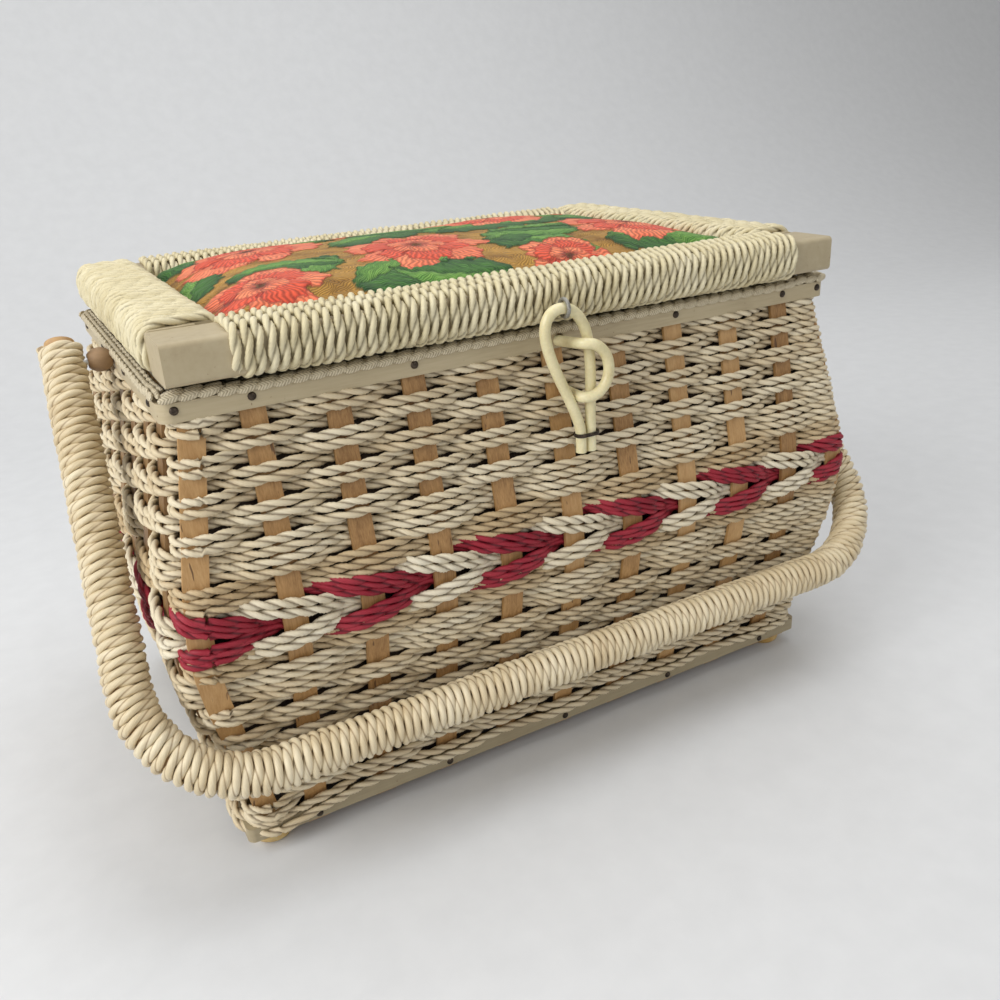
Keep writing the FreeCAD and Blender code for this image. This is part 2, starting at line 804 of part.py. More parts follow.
def hinges():
    sets = [hinge_set(side * hinge_spacing / 2) for side in (-1, 1)]
    export("rim_hinge_leaves", *[s[0] for s in sets])
    export("lid_hinge_leaves", *[s[1] for s in sets])
    export("hinge_pins", *[s[2] for s in sets])


# Handle
def hang(shape):
    """Turn a shape modelled hanging straight down to the handle's rest lean."""
    shape.rotate(V(0, 0, pivot_z), V(1, 0, 0), -math.degrees(handle_lean))
    return shape


def handle_path(extra):
    """Line of the bail, hanging straight down; extra lengthens both ends for a bore."""
    slope = handle_splay / handle_reach
    top = handle_top_reach + extra
    arm_top = V(pivot_x - slope * top, 0, pivot_z + top)
    arm_foot = V(pivot_x + handle_splay, 0, pivot_z - handle_reach)
    mirror = V(-1, 1, 1)
    points = [arm_top, arm_foot]
    points += [V(p.x * mirror.x, p.y * mirror.y, p.z * mirror.z) for p in reversed(points)]
    return rounded_path(points, [handle_corner_radius, handle_corner_radius])


def handle():
    bore_end = pivot_x + pivot_grip + bore_clearance
    bores = pivot_line(rim_length / 2, bore_end, pivot_radius + bore_clearance)
    core = tube(handle_path(0), handle_core_radius - wrap_clearance)
    wrap = tube(handle_path(0), wrap_radius).cut(tube(handle_path(overrun), handle_core_radius))
    for bore in bores:
        core = core.cut(bore)
        wrap = wrap.cut(bore)
    export("handle_core", hang(core))
    export("handle_wrap", hang(wrap))
    slope = handle_splay / handle_reach
    way = V(-slope, 0, 1).normalize()
    tacks = []
    for side in (-1, 1):
        top = V(side * (pivot_x - slope * handle_top_reach), 0, pivot_z + handle_top_reach)
        tacks.append(hang(Part.makeCylinder(tack_radius, tack_height, top, V(side * way.x, 0, way.z))))
    export("handle_tacks", *tacks)


def pivots():
    """Spacer beads, and screws driven from inside the rim into the handle's arms."""
    start = rim_length / 2 + bead_clearance
    end = start + bead_length
    mid = (start + end) / 2
    profile = Part.Wire([
        Part.LineSegment(V(start, 0, pivot_z), V(start, bead_end_radius, pivot_z)).toShape(),
        Part.Arc(
            V(start, bead_end_radius, pivot_z), V(mid, bead_radius, pivot_z), V(end, bead_end_radius, pivot_z)
        ).toShape(),
        Part.LineSegment(V(end, bead_end_radius, pivot_z), V(end, 0, pivot_z)).toShape(),
        Part.LineSegment(V(end, 0, pivot_z), V(start, 0, pivot_z)).toShape(),
    ])
    bead = Part.Face(profile).revolve(V(0, 0, pivot_z), V(1, 0, 0), 360)
    bores = pivot_line(rim_length / 2, end + overrun, pivot_radius + bore_clearance)
    right = bead.cut(bores[0])
    left = right.mirror(V(0, 0, 0), V(1, 0, 0))
    export("handle_beads", right, left)
    inner_face = plane_length - stake_thickness / 2 - hoop_thickness
    shanks = pivot_line(inner_face, pivot_x + pivot_grip, pivot_radius)
    heads = pivot_line(inner_face, inner_face + pivot_head_height, pivot_head_radius)
    export("handle_screws", *[shank.fuse(head) for shank, head in zip(shanks, heads)])


# Latch
def latch_point(share):
    return V(latch_offset + share[0] * latch_half_width, latch_y, latch_z - share[1] * latch_length)


def latch():
    points = [latch_point(share) for share in loop_shares]
    radii = [share * latch_half_width for share in latch_radius_shares]
    export("latch_loop", tube(rounded_path(points, radii), tube_radius))
    ring_radius = tube_radius + eye_clearance + eye_wire_radius
    eye_centre = V(latch_offset, latch_y, latch_z)
    ring = Part.makeTorus(ring_radius, eye_wire_radius, eye_centre, V(1, 0, 0))
    shank = rod(eye_centre + V(0, ring_radius, 0), eye_centre + V(0, eye_shank_length, 0), eye_wire_radius)
    export("latch_eye", ring.fuse(shank))
    tie_z = latch_z - latch_length + tie_rise
    mid_x = (points[0].x + points[-1].x) / 2
    reach = (points[-1].x - points[0].x) / 2 + tube_radius + tie_clearance
    band = tube_radius + tie_clearance
    outer = slab(reach + tie_wire, band + tie_wire, band + tie_wire - tie_clearance, tie_z, tie_height)
    inner = slab(reach, band, band - tie_clearance, tie_z - overrun, tie_height + 2 * overrun)
    wire = outer.cut(inner)
    wire.translate(V(mid_x, latch_y, 0))
    export("loop_tie", wire)


def keeper():
    """Soft tube from the rim, round in front of the loop's leg and back into a window of the weave."""
    upper_z = rim_mid_z
    lower_z = rim_mid_z - keeper_rise
    front_y = latch_y - 2 * tube_radius - tube_gap
    seat_y = -(plane_depth + swell(lower_z - tube_radius) + stake_thickness / 2 + keeper_seat_gap)
    far_x = keeper_x + keeper_width
    points = [
        V(keeper_x, -rim_depth / 2 + hoop_thickness, upper_z),
        V(keeper_x, front_y, upper_z),
        V(far_x, front_y, upper_z - keeper_bow),
        V(far_x, front_y, lower_z + keeper_bow),
        V(keeper_x, front_y, lower_z),
        V(keeper_x, seat_y, lower_z),
    ]
    radii = [keeper_bend_radius, keeper_end_radius, keeper_end_radius, keeper_bend_radius]
    export("keeper_loop", tube(rounded_path(points, radii), tube_radius))


woven_wall()
stakes()
hoops()
base()
lining()
nails()
lid_frame()
lid_filling()
hinges()
handle()
pivots()
latch()
keeper()

print("frame shift", round(frame_shift, 3), "handle lean", round(math.degrees(handle_lean), 3))
print("handle pivot y z", round(frame_shift, 3), round(pivot_z, 3))
print("lid hinge y z", round(hinge_y + frame_shift, 3), round(hinge_z, 3))
print("latch y z", round(latch_y + frame_shift, 3), round(latch_z, 3))
print("stakes per long side and end", len(front_places), len(end_places), "weave swing", round(weave_swing, 3))
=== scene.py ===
import math
import random

import bmesh
import bpy
import numpy as np
from mathutils import Matrix, Vector
from mathutils.bvhtree import BVHTree


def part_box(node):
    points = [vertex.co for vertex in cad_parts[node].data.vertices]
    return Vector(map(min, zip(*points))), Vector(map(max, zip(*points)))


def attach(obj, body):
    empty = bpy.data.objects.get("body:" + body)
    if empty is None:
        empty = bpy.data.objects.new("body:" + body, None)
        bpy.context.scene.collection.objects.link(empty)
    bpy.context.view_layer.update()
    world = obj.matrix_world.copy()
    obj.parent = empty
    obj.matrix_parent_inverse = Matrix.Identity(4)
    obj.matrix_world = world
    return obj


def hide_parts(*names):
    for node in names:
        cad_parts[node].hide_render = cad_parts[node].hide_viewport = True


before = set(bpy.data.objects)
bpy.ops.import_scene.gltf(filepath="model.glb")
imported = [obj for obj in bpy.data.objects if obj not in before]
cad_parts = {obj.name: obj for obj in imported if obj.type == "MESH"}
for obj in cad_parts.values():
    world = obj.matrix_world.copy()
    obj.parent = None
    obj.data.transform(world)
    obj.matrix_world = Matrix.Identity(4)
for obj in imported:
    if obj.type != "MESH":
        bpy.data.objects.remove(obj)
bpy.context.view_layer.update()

# Lengths are in millimetres in the basket's own frame, with the rim's middle at Y = 0.
MM = 0.001
rim_low, rim_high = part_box("rim_hoop")
RIM_MIDDLE_Y = (rim_low[1] + rim_high[1]) / 2

# Wall and base
RIM_LENGTH = 307.0
RIM_DEPTH = 191.6
RIM_TOP = 197.0
RIM_BOTTOM = 190.0
RIM_CORNER = 4.6
BASE_TOP = 14.0
BASE_DRAW = 1.5
BOARD_TOP = 10.0
STRIP_X = 152.0
STRIP_LIFT = 2.4
STRIP_EDGE = 5.0
FOOT_X = 139.8
FOOT_Y = 82.4
BELLY_Z = 107.0
BELLY_SWELL = 16.2
BELLY_RADIUS = 117.0
WALL_X = 150.2
WALL_Y = 92.5
FRONT_PITCH = 31.0
FRONT_SHIFT = 2.4
END_PITCH = 27.5
FRONT_CORNER_STAKE = 142.6
END_CORNER_STAKE = 79.3

# Woven cords; counts are stakes, and wander is how unevenly a cord lies
UPPER_CORDS = (2, 2, 2, 2, 2, 2, 2, 4, 3)
LOWER_CORDS = (3, 4, 2, 2, 2, 2, 2, 2, 2, 2, 2, 2)
CORD_RISE = 3.298
BAND_BOTTOM = 103.0
CORD_RADIUS = 2.0
CORD_PITCH = 15.5
CORD_WAIST = 0.46
CORD_STEP = 1.7
CORD_FAN = 0.2
RING_CORNER = 11.0
RING_STEP = 2.0
WEAVE_SWING = 2.65
BAND_SWING = 1.8
SWING_SNAP = 1.7
COVERED_STAKES = (10, 28)
COVER_SPREAD = 0.6
OUT_WANDER = 0.14
RISE_WANDER = 0.24
TWIST_WANDER = 1.2
TONE_WANDER = 0.25
WALL_TONES = (0.25, 0.75)
WALL_STAIN = (0.0, 0.25)
BAND_STAIN = 0.8
SLACK = 0.8
CORNER_SLACK = 5.2
SLACK_RANGE = 18.0
SLACK_SPREAD = 0.8
SLACK_LEAN = 0.5
STRIP_EASE = 2.5
STRIP_SEAT = 0.95
CLIMB = 4.0
CLIMB_RANGE = 24.0
CLIMB_SPREAD = 0.85

# Strokes of the arrow band
CRIMSON_CORDS = 3
CRIMSON_SPACING = 2.6
CRIMSON_RADIUS = 1.9
CRIMSON_PITCH = 19.0
NATURAL_CORDS = 2
NATURAL_SPACING = 4.1
NATURAL_RADIUS = 2.15
STROKE_SWING = 3.0
STROKE_SNAP = 1.5
STROKE_STEP = 1.5
STROKE_OUT_WANDER = 0.12
STROKE_RISE_WANDER = 0.2
STROKE_TWIST_WANDER = 1.0
STROKE_TONES = (0.45, 0.7)

# Gimp and nails
GIMP_STEP = 6.5
GIMP_FINE = 8
GIMP_UNEVEN = 0.12
GIMP_LEAN = 0.35
GIMP_LIFT = 1.2
GIMP_LIFT_PLACE = (128.0, 74.0)
GIMP_LIFT_EASE = 8.0
NAIL_RADIUS = 1.6
NAIL_DOME = 0.55
RIM_NAIL_Z = 194.3
BASE_NAIL_Z = 9.5
CORNER_NAIL = 148.2

# Linings
LINING_RING = 480
LINING_ROWS = 40
LINING_INSET = 5.85
LINING_THICK = 1.2
LINING_CORNER = 8.0
LINING_FOLD = 0.8
HEM_INSET = 3.45
HEM_STEP = 2.0
LID_LINING_X = 119.3
LID_LINING_Y = 70.3
LID_LINING_THICK = 1.0
LID_LINING_SAG = 0.7
LID_LINING_GRID = (60, 36)
LID_BOARD_BOTTOM = 204.5

# Lid's rails and their windings
LID_X = 150.0
LID_Y = 101.0
RAIL_WIDTH = 24.7
RAIL_BOTTOM = 203.0
RAIL_TOP = 218.0
RAIL_CORNER = 5.6
RAIL_SKIN = 1.2
RAIL_ROUND = 1.7
RAIL_RING_STEP = 1.6
LID_FRONT_WRAP = (-130.0, 132.3)
LID_BACK_WRAP = (-124.2, 124.2)
LID_SIDE_WRAP = (-76.3, 99.0)
LID_CORD_RADIUS = 2.05
LID_TURN = 4.05
LID_HALF_TWISTS = 9
LID_WAIST = 0.5
WINDING_STEP = 1.8
WINDING_RISE = 0.4
UNDER_RISE = 0.7
TURN_WANDER = 0.25
TURN_PROUD = 0.14
END_TUCK = 0.8
TUCK_TURNS = 3

# Pad
PAD_X = 122.0
PAD_Y = 73.0
PAD_SEAT = 208.5
PAD_EDGE = 219.0
PAD_LOW = 213.5
PAD_CROWN = 228.4
PAD_CAP = 9.5
PAD_STEP = 0.8
PAD_SINK = 0.9
PAD_PULL = 0.5
PAD_PULL_REACH = 9.0
CUSHION_INSET = 1.5
CUSHION_ROUND = 3.0
CUSHION_GRID = 5.0
CUSHION_HELD = 3.0
STUFFING_PRESSURE = 4.0
STUFFING_FRAMES = 20

# Handle
PIVOT_X = 172.6
PIVOT_Z = 194.6
HANDLE_REACH = 181.0
HANDLE_SPLAY = 13.0
HANDLE_TOP = 10.0
HANDLE_BEND = 43.0
HANDLE_LEAN = math.radians(40.579)
HANDLE_CORE = 6.0
HANDLE_SKIN = 0.95
HANDLE_END = 1.9
HANDLE_FINE = 0.25
HANDLE_CORD_RADIUS = 2.1
HANDLE_CORD_PITCH = -19.0
HANDLE_CORD_STEP = 1.6
HANDLE_WAIST = 0.66
HANDLE_TURN = 3.75
HANDLE_SLANT = 2.6
HANDLE_TURN_WANDER = 0.22
HANDLE_TWIST_DRIFT = 0.8
GRIP_END = 6.0
GRIP_EASE = 30.0
TACK_RADIUS = 2.4
TACK_DOME = 0.36

# Latch
LATCH_Y = -109.2
TUBE_RADIUS = 2.25

dice = random.Random(41)


def drawn(places, low, high):
    """A random number for each place."""
    return [dice.uniform(low, high) for _ in places]


def placed(points):
    """Millimetre points in the part's frame, in metres."""
    points = np.array(points, float).reshape(-1, 3) * MM
    points[:, 1] += RIM_MIDDLE_Y
    return points


# The wall's profile: two straight flanks joined by an arc at the belly
UPPER_SLOPE = BELLY_SWELL / (RIM_BOTTOM - BELLY_Z)
LOWER_SLOPE = (BELLY_SWELL + BASE_DRAW) / (BELLY_Z - BASE_TOP)
UPPER_ANGLE = math.atan(UPPER_SLOPE)
LOWER_ANGLE = math.atan(LOWER_SLOPE)
BELLY_TANGENT = BELLY_RADIUS * math.tan((UPPER_ANGLE + LOWER_ANGLE) / 2)
FLANK_UPPER_Z = BELLY_Z + BELLY_TANGENT * math.cos(UPPER_ANGLE)
FLANK_LOWER_Z = BELLY_Z - BELLY_TANGENT * math.cos(LOWER_ANGLE)
ARC_SWELL = BELLY_SWELL - BELLY_TANGENT * math.sin(UPPER_ANGLE) - BELLY_RADIUS * math.cos(UPPER_ANGLE)
ARC_Z = FLANK_UPPER_Z - BELLY_RADIUS * math.sin(UPPER_ANGLE)


def swell(z):
    """How far the stakes' surface stands out from the rim at height z; z is a number or an array."""
    z = np.clip(np.asarray(z, float), BASE_TOP, RIM_BOTTOM)
    arc = ARC_SWELL + np.sqrt(np.maximum(BELLY_RADIUS ** 2 - (z - ARC_Z) ** 2, 0))
    upper = UPPER_SLOPE * (RIM_BOTTOM - z)
    lower = LOWER_SLOPE * (z - BASE_TOP) - BASE_DRAW
    return np.where(z >= FLANK_UPPER_Z, upper, np.where(z <= FLANK_LOWER_Z, lower, arc))


# Node trees and materials
def add_node(tree, kind, inputs=None, **settings):
    """New node with its settings, and with each input linked or given its value."""
    node = tree.nodes.new(kind)
    for key, value in settings.items():
        setattr(node, key, value)
    dress(tree, node, inputs or {})
    return node


def dress(tree, node, inputs):
    """Link each named input of a node, or give it its value."""
    for key, value in inputs.items():
        if isinstance(value, bpy.types.NodeSocket):
            tree.links.new(value, node.inputs[key])
        else:
            node.inputs[key].default_value = value


def math_node(tree, operation, first, second=None, third=None):
    inputs = {i: v for i, v in enumerate((first, second, third)) if v is not None}
    return add_node(tree, "ShaderNodeMath", inputs, operation=operation).outputs[0]


def blend(tree, base, *pairs):
    """A base number plus the sum of (value, share) pairs."""
    for value, share in pairs:
        base = math_node(tree, "MULTIPLY_ADD", value, share, base)
    return base


def axes_of(tree, vector):
    return add_node(tree, "ShaderNodeSeparateXYZ", {0: vector}).outputs


def joined(tree, x, y, z):
    return add_node(tree, "ShaderNodeCombineXYZ", {0: x, 1: y, 2: z}).outputs[0]


def linear(red, green, blue):
    """A colour named by its display values, 0 to 255."""
    channels = []
    for value in (red, green, blue):
        share = value / 255
        channels.append(share / 12.92 if share <= 0.04045 else ((share + 0.055) / 1.055) ** 2.4)
    return (*channels, 1.0)


def new_finish(name, roughness=0.6):
    """Empty node material: its tree, its surface shader and the material."""
    material = bpy.data.materials.new(name)
    material.use_nodes = True
    tree = material.node_tree
    surface = tree.nodes["Principled BSDF"]
    surface.inputs["Roughness"].default_value = roughness
    return tree, surface, material


def ramp(tree, value, *stops):
    """Colour ramp through (place, colour) stops."""
    node = add_node(tree, "ShaderNodeValToRGB", {"Fac": value})
    bar = node.color_ramp
    while len(bar.elements) < len(stops):
        bar.elements.new(0.5)
    for element, (place, colour) in zip(bar.elements, stops):
        element.position = place
        element.color = colour
    return node.outputs["Color"]


def dimmed(level, *stops):
    """Stops of a ramp from display colours, each times a level."""
    return [(place, linear(*(value * level for value in colour))) for place, colour in stops]


def mix_colour(tree, share, first, second, blend_type="MIX"):
    inputs = {0: share, 6: first, 7: second}
    return add_node(tree, "ShaderNodeMix", inputs, data_type="RGBA", blend_type=blend_type).outputs[2]


def own_place(tree):
    return add_node(tree, "ShaderNodeTexCoord").outputs["Object"]


def noise(tree, scale, detail=3.0, rough=0.55, stretch=(1, 1, 1), vector=None):
    """Noise over Object coordinates stretched along each axis, or over another vector."""
    if vector is None:
        vector = add_node(tree, "ShaderNodeMapping", {"Vector": own_place(tree), "Scale": stretch}).outputs[0]
    inputs = {"Vector": vector, "Scale": scale, "Detail": detail, "Roughness": rough}
    return add_node(tree, "ShaderNodeTexNoise", inputs).outputs["Fac"]


def attribute(tree, name, output="Fac"):
    return add_node(tree, "ShaderNodeAttribute", attribute_name=name).outputs[output]


def spread(tree, value, low, high, new_low=0.0, new_high=1.0):
    inputs = {0: value, 1: low, 2: high, 3: new_low, 4: new_high}
    return add_node(tree, "ShaderNodeMapRange", inputs).outputs[0]


def gloss(tree, value, first, last):
    """Roughness that follows the middle part of a noise."""
    return spread(tree, value, 0.3, 0.7, first, last)


def raise_bump(tree, surface, height, strength, distance):
    bump = add_node(tree, "ShaderNodeBump", {"Height": height, "Strength": strength, "Distance": distance})
    tree.links.new(bump.outputs["Normal"], surface.inputs["Normal"])


def cord_finish(name, groove_shade_colour, shade, body, light, stain=None, valley=(0.48, 0.84), polish=(0.6, 0.42)):
    """Twisted fibre cord: streaks follow the plies, and painted shade darkens the groove between them."""
    tree, surface, material = new_finish(name)
    across = attribute(tree, "across", "Vector")
    sides = [math_node(tree, "MULTIPLY", axes_of(tree, across)[i], 5.0) for i in (0, 1)]
    lay = joined(tree, *sides, math_node(tree, "MULTIPLY", attribute(tree, "along"), 42.0))
    fibre = noise(tree, 1.6, 5.0, 0.65, vector=lay)
    patch = noise(tree, 55.0, 2.0)
    mixed = blend(tree, -0.17, (fibre, 0.62), (patch, 0.38), (attribute(tree, "tone"), 0.34))
    colour = ramp(tree, mixed, (0.26, shade), (0.46, body), (0.72, light))
    if stain:
        stained = math_node(tree, "MULTIPLY", attribute(tree, "stain"), 0.75)
        colour = mix_colour(tree, stained, colour, stain, "MULTIPLY")
    # Painted shade: the colour darkens towards the groove colour where the profile narrows into the groove between
    # the two plies.
    depth = add_node(tree, "ShaderNodeVectorMath", {0: across}, operation="LENGTH").outputs["Value"]
    groove_shade = math_node(tree, "POWER", spread(tree, depth, *valley, 1.0, 0.0), 1.6)
    colour = mix_colour(tree, math_node(tree, "MULTIPLY", groove_shade, 0.7), colour, groove_shade_colour)
    dress(tree, surface, {
        "Base Color": colour, "Roughness": gloss(tree, fibre, *polish), "Specular IOR Level": 0.35})
    raise_bump(tree, surface, fibre, 0.4, 0.0004)
    return material


def stake_finish(name, side_axis, pitch, level=1.0):
    """Split cane: fine upright grain, a shade of its own for each stake, and dark splits."""
    tree, surface, material = new_finish(name, 0.55)
    beside = axes_of(tree, own_place(tree))[side_axis]
    column = math_node(tree, "ROUND", math_node(tree, "DIVIDE", beside, pitch * MM))
    shade = add_node(tree, "ShaderNodeTexWhiteNoise", {"W": column}, noise_dimensions="1D").outputs["Value"]
    grain = noise(tree, 1500.0, 4.0, 0.7, (1, 1, 0.03))
    band = noise(tree, 260.0, 2.0, stretch=(1, 1, 0.15))
    mixed = blend(tree, -0.08, (grain, 0.5), (band, 0.35), (shade, 0.3))
    colour = ramp(tree, mixed, *dimmed(
        level, (0.22, (128, 91, 50)), (0.45, (176, 135, 84)), (0.66, (196, 157, 106)), (0.88, (210, 176, 128))))
    split = spread(tree, noise(tree, 420.0, 2.0, stretch=(1, 1, 0.012)), 0.69, 0.71)
    colour = mix_colour(tree, math_node(tree, "MULTIPLY", split, 0.75), colour, linear(70, 40, 20))
    dress(tree, surface, {"Base Color": colour, "Roughness": gloss(tree, grain, 0.62, 0.42)})
    raise_bump(tree, surface, math_node(tree, "SUBTRACT", grain, split), 0.4, 0.0003)
    return material


def painted_finish(name, stretch, level=1.0):
    """Old cream paint on a wooden strip: brushed streaks, faint grime and small chips."""
    tree, surface, material = new_finish(name, 0.5)
    brush = noise(tree, 900.0, 4.0, 0.6, stretch)
    cloud = noise(tree, 26.0)
    mixed = blend(tree, 0.0, (brush, 0.45), (cloud, 0.55))
    colour = ramp(tree, mixed, *dimmed(
        level, (0.3, (183, 165, 130)), (0.5, (199, 182, 146)), (0.72, (210, 194, 159))))
    chip = spread(tree, noise(tree, 420.0, 2.0, 0.7), 0.70, 0.74)
    colour = mix_colour(tree, math_node(tree, "MULTIPLY", chip, 0.8), colour, linear(118, 92, 62))
    dress(tree, surface, {"Base Color": colour, "Roughness": gloss(tree, cloud, 0.42, 0.6)})
    raise_bump(tree, surface, math_node(tree, "SUBTRACT", brush, chip), 0.25, 0.0003)
    return material


def wood_finish(name, dark, pale, stretch, roughness=0.55):
    """Plain wood with long grain."""
    tree, surface, material = new_finish(name)
    warp = noise(tree, 90.0, 4.0, 0.6, stretch)
    fine = noise(tree, 700.0, 3.0, 0.6, stretch)
    mixed = blend(tree, 0.0, (warp, 0.6), (fine, 0.4))
    dress(tree, surface, {
        "Base Color": ramp(tree, mixed, (0.3, dark), (0.7, pale)),
        "Roughness": gloss(tree, fine, roughness - 0.08, roughness + 0.12)})
    raise_bump(tree, surface, fine, 0.25, 0.0003)
    return material


def braid_finish(name, dark, pale):
    """Flat braid: fine slanting threads across each scallop."""
    tree, surface, material = new_finish(name, 0.75)
    parts = axes_of(tree, attribute(tree, "across", "Vector"))
    thread = math_node(tree, "SINE", blend(
        tree, 0.0, (math_node(tree, "ABSOLUTE", parts[2]), 16.0), (parts[0], 44.0)))
    mixed = blend(tree, 0.2, (noise(tree, 900.0), 0.6), (thread, 0.17))
    dress(tree, surface, {"Base Color": ramp(tree, mixed, (0.2, dark), (0.62, pale))})
    raise_bump(tree, surface, thread, 0.35, 0.0004)
    return material


def metal_finish(name, dull, bright, roughness, metallic=1.0):
    """Metal with tarnish in patches and fine scratches."""
    tree, surface, material = new_finish(name)
    cloud = noise(tree, 380.0, 4.0, 0.6)
    scratch = noise(tree, 1800.0, 2.0, stretch=(1, 0.2, 1))
    mixed = blend(tree, 0.0, (cloud, 0.7), (scratch, 0.3))
    dress(tree, surface, {
        "Base Color": ramp(tree, mixed, (0.36, dull), (0.64, bright)), "Metallic": metallic,
        "Roughness": spread(tree, mixed, 0.35, 0.65, roughness + 0.15, roughness - 0.08)})
    raise_bump(tree, surface, scratch, 0.12, 0.0002)
    return material


def cloth_finish(name, dark, pale):
    """Plain woven lining cloth: crossing threads on Object coordinates."""
    tree, surface, material = new_finish(name, 0.85)
    parts = axes_of(tree, own_place(tree))
    rows = [math_node(tree, "SINE", math_node(tree, "MULTIPLY", parts[axis], 5200.0)) for axis in range(3)]
    weave = math_node(tree, "MULTIPLY", math_node(tree, "ADD", rows[0], rows[1]), rows[2])
    weave = math_node(tree, "MULTIPLY_ADD", rows[0], rows[1], weave)
    slub = noise(tree, 600.0, stretch=(1, 1, 0.2))
    mixed = blend(tree, 0.05, (slub, 0.5), (noise(tree, 18.0, 2.0), 0.4), (weave, 0.06))
    dress(tree, surface, {"Base Color": ramp(tree, mixed, (0.28, dark), (0.68, pale)), "Sheen Weight": 0.25})
    raise_bump(tree, surface, weave, 0.3, 0.0003)
    return material


def tube_finish(name):
    """Soft yellowed plastic tube."""
    tree, surface, material = new_finish(name)
    cloud = noise(tree, 70.0)
    speck = noise(tree, 900.0, 2.0)
    mixed = blend(tree, 0.0, (cloud, 0.75), (speck, 0.25))
    dress(tree, surface, {
        "Base Color": ramp(tree, mixed, (0.3, linear(205, 192, 146)), (0.7, linear(236, 227, 186))),
        "Roughness": gloss(tree, cloud, 0.3, 0.48),
        "Subsurface Weight": 0.15, "Subsurface Radius": (0.003, 0.002, 0.001)})
    raise_bump(tree, surface, speck, 0.08, 0.0002)
    return material


def amber_finish(name):
    """Moulded amber foot."""
    tree, surface, material = new_finish(name)
    cloud = noise(tree, 120.0)
    dress(tree, surface, {
        "Base Color": ramp(tree, cloud, (0.35, linear(188, 150, 82)), (0.65, linear(226, 200, 140))),
        "Roughness": gloss(tree, cloud, 0.35, 0.55),
        "Subsurface Weight": 0.2, "Subsurface Radius": (0.004, 0.002, 0.001)})
    raise_bump(tree, surface, cloud, 0.1, 0.0003)
    return material


def floral_finish(name):
    """Embroidered pad cloth: the colour of each stitch field, with the lie of its threads and a painted sheen and
    shade across each thread.
    """
    tree, surface, material = new_finish(name, 0.72)
    # Painted sheen and shade: the dye runs from darker to brighter across each thread, with fine noise.
    strand = math_node(tree, "MULTIPLY_ADD", math_node(tree, "SINE", attribute(tree, "thread")), 0.5, 0.5)
    lit = blend(tree, 0.0, (strand, 0.55), (noise(tree, 1100.0, 3.0, 0.65), 0.45))
    worn = gloss(tree, noise(tree, 240.0, 2.0), 0.86, 1.1)
    shade = math_node(tree, "MULTIPLY", spread(tree, lit, 0.15, 0.75, 0.5, 1.12), worn)
    colour = add_node(tree, "ShaderNodeVectorMath", {
        0: attribute(tree, "dye", "Color"), 1: joined(tree, shade, shade, shade)}, operation="MULTIPLY").outputs[0]
    dress(tree, surface, {
        "Base Color": colour, "Sheen Weight": 0.1, "Sheen Roughness": 0.4, "Specular IOR Level": 0.3})
    raise_bump(tree, surface, lit, 0.7, 0.0006)
    return material


# Each cord finish's first colour is painted shade for the groove between its plies.
GROOVE_SHADE = linear(84, 62, 38)
wall_cord = cord_finish(
    "wall_cord", GROOVE_SHADE, linear(200, 178, 141), linear(221, 205, 172), linear(236, 225, 198), linear(206, 184, 150))
pale_cord = cord_finish(
    "pale_cord", GROOVE_SHADE, linear(200, 183, 148), linear(224, 211, 182), linear(238, 229, 206))
crimson_cord = cord_finish(
    "crimson_cord", linear(40, 4, 12), linear(104, 14, 30), linear(144, 26, 44), linear(172, 56, 68))
lid_cord = cord_finish(
    "lid_cord", linear(72, 56, 32), linear(187, 172, 129), linear(215, 203, 165), linear(231, 222, 192))
gimp_cord = braid_finish("gimp_cord", linear(142, 127, 100), linear(210, 198, 170))
handle_cord = cord_finish(
    "handle_cord", linear(128, 98, 62), linear(192, 170, 132), linear(212, 195, 160), linear(231, 219, 190),
    valley=(0.66, 0.76), polish=(0.42, 0.28))
front_cane = stake_finish("front_cane", 0, FRONT_PITCH)
end_cane = stake_finish("end_cane", 1, END_PITCH, 0.8)
painted_strip = painted_finish("painted_strip", (0.08, 0.08, 1), 0.9)
# Same cream paint as the rim strip, dimmed further as painted shade for the shadow under the wall's belly.
base_paint = painted_finish("base_paint", (0.08, 0.08, 1), 0.82)
lid_wood = painted_finish("lid_wood", (0.3, 0.3, 0.3), 0.86)
plain_wood = wood_finish("plain_wood", linear(150, 112, 70), linear(196, 160, 112), (0.05, 1, 1))
bead_wood = wood_finish("bead_wood", linear(136, 108, 78), linear(174, 142, 106), (0.1, 1, 1), 0.6)
nail_metal = metal_finish("nail_metal", linear(34, 28, 24), linear(92, 80, 68), 0.36, 0.8)
bright_steel = metal_finish("bright_steel", linear(206, 206, 204), linear(240, 240, 238), 0.3)
eye_wire = metal_finish("eye_wire", linear(120, 118, 112), linear(178, 176, 168), 0.5, 0.75)
hinge_brass = metal_finish("hinge_brass", linear(150, 116, 54), linear(206, 174, 98), 0.36)
lining_cloth = cloth_finish("lining_cloth", linear(196, 182, 152), linear(226, 216, 192))
# Dark cloth on the lining's outer faces: painted shade, so the gaps between the wall cords read as dark.
lining_back = cloth_finish("lining_back", linear(54, 42, 32), linear(78, 62, 48))
soft_tube = tube_finish("soft_tube")
foot_amber = amber_finish("foot_amber")
floral_cloth = floral_finish("floral_cloth")
# Node trees that grow cords, loops and heads on lines and points
def new_tree(name, sockets):
    """Empty geometry tree with named inputs, and the sockets that give them."""
    tree = bpy.data.node_groups.new(name, "GeometryNodeTree")
    for label, kind in sockets.items():
        tree.interface.new_socket(label, in_out="INPUT", socket_type="NodeSocket" + kind)
    tree.interface.new_socket("Made", in_out="OUTPUT", socket_type="NodeSocketGeometry")
    return tree, tree.nodes.new("NodeGroupInput").outputs


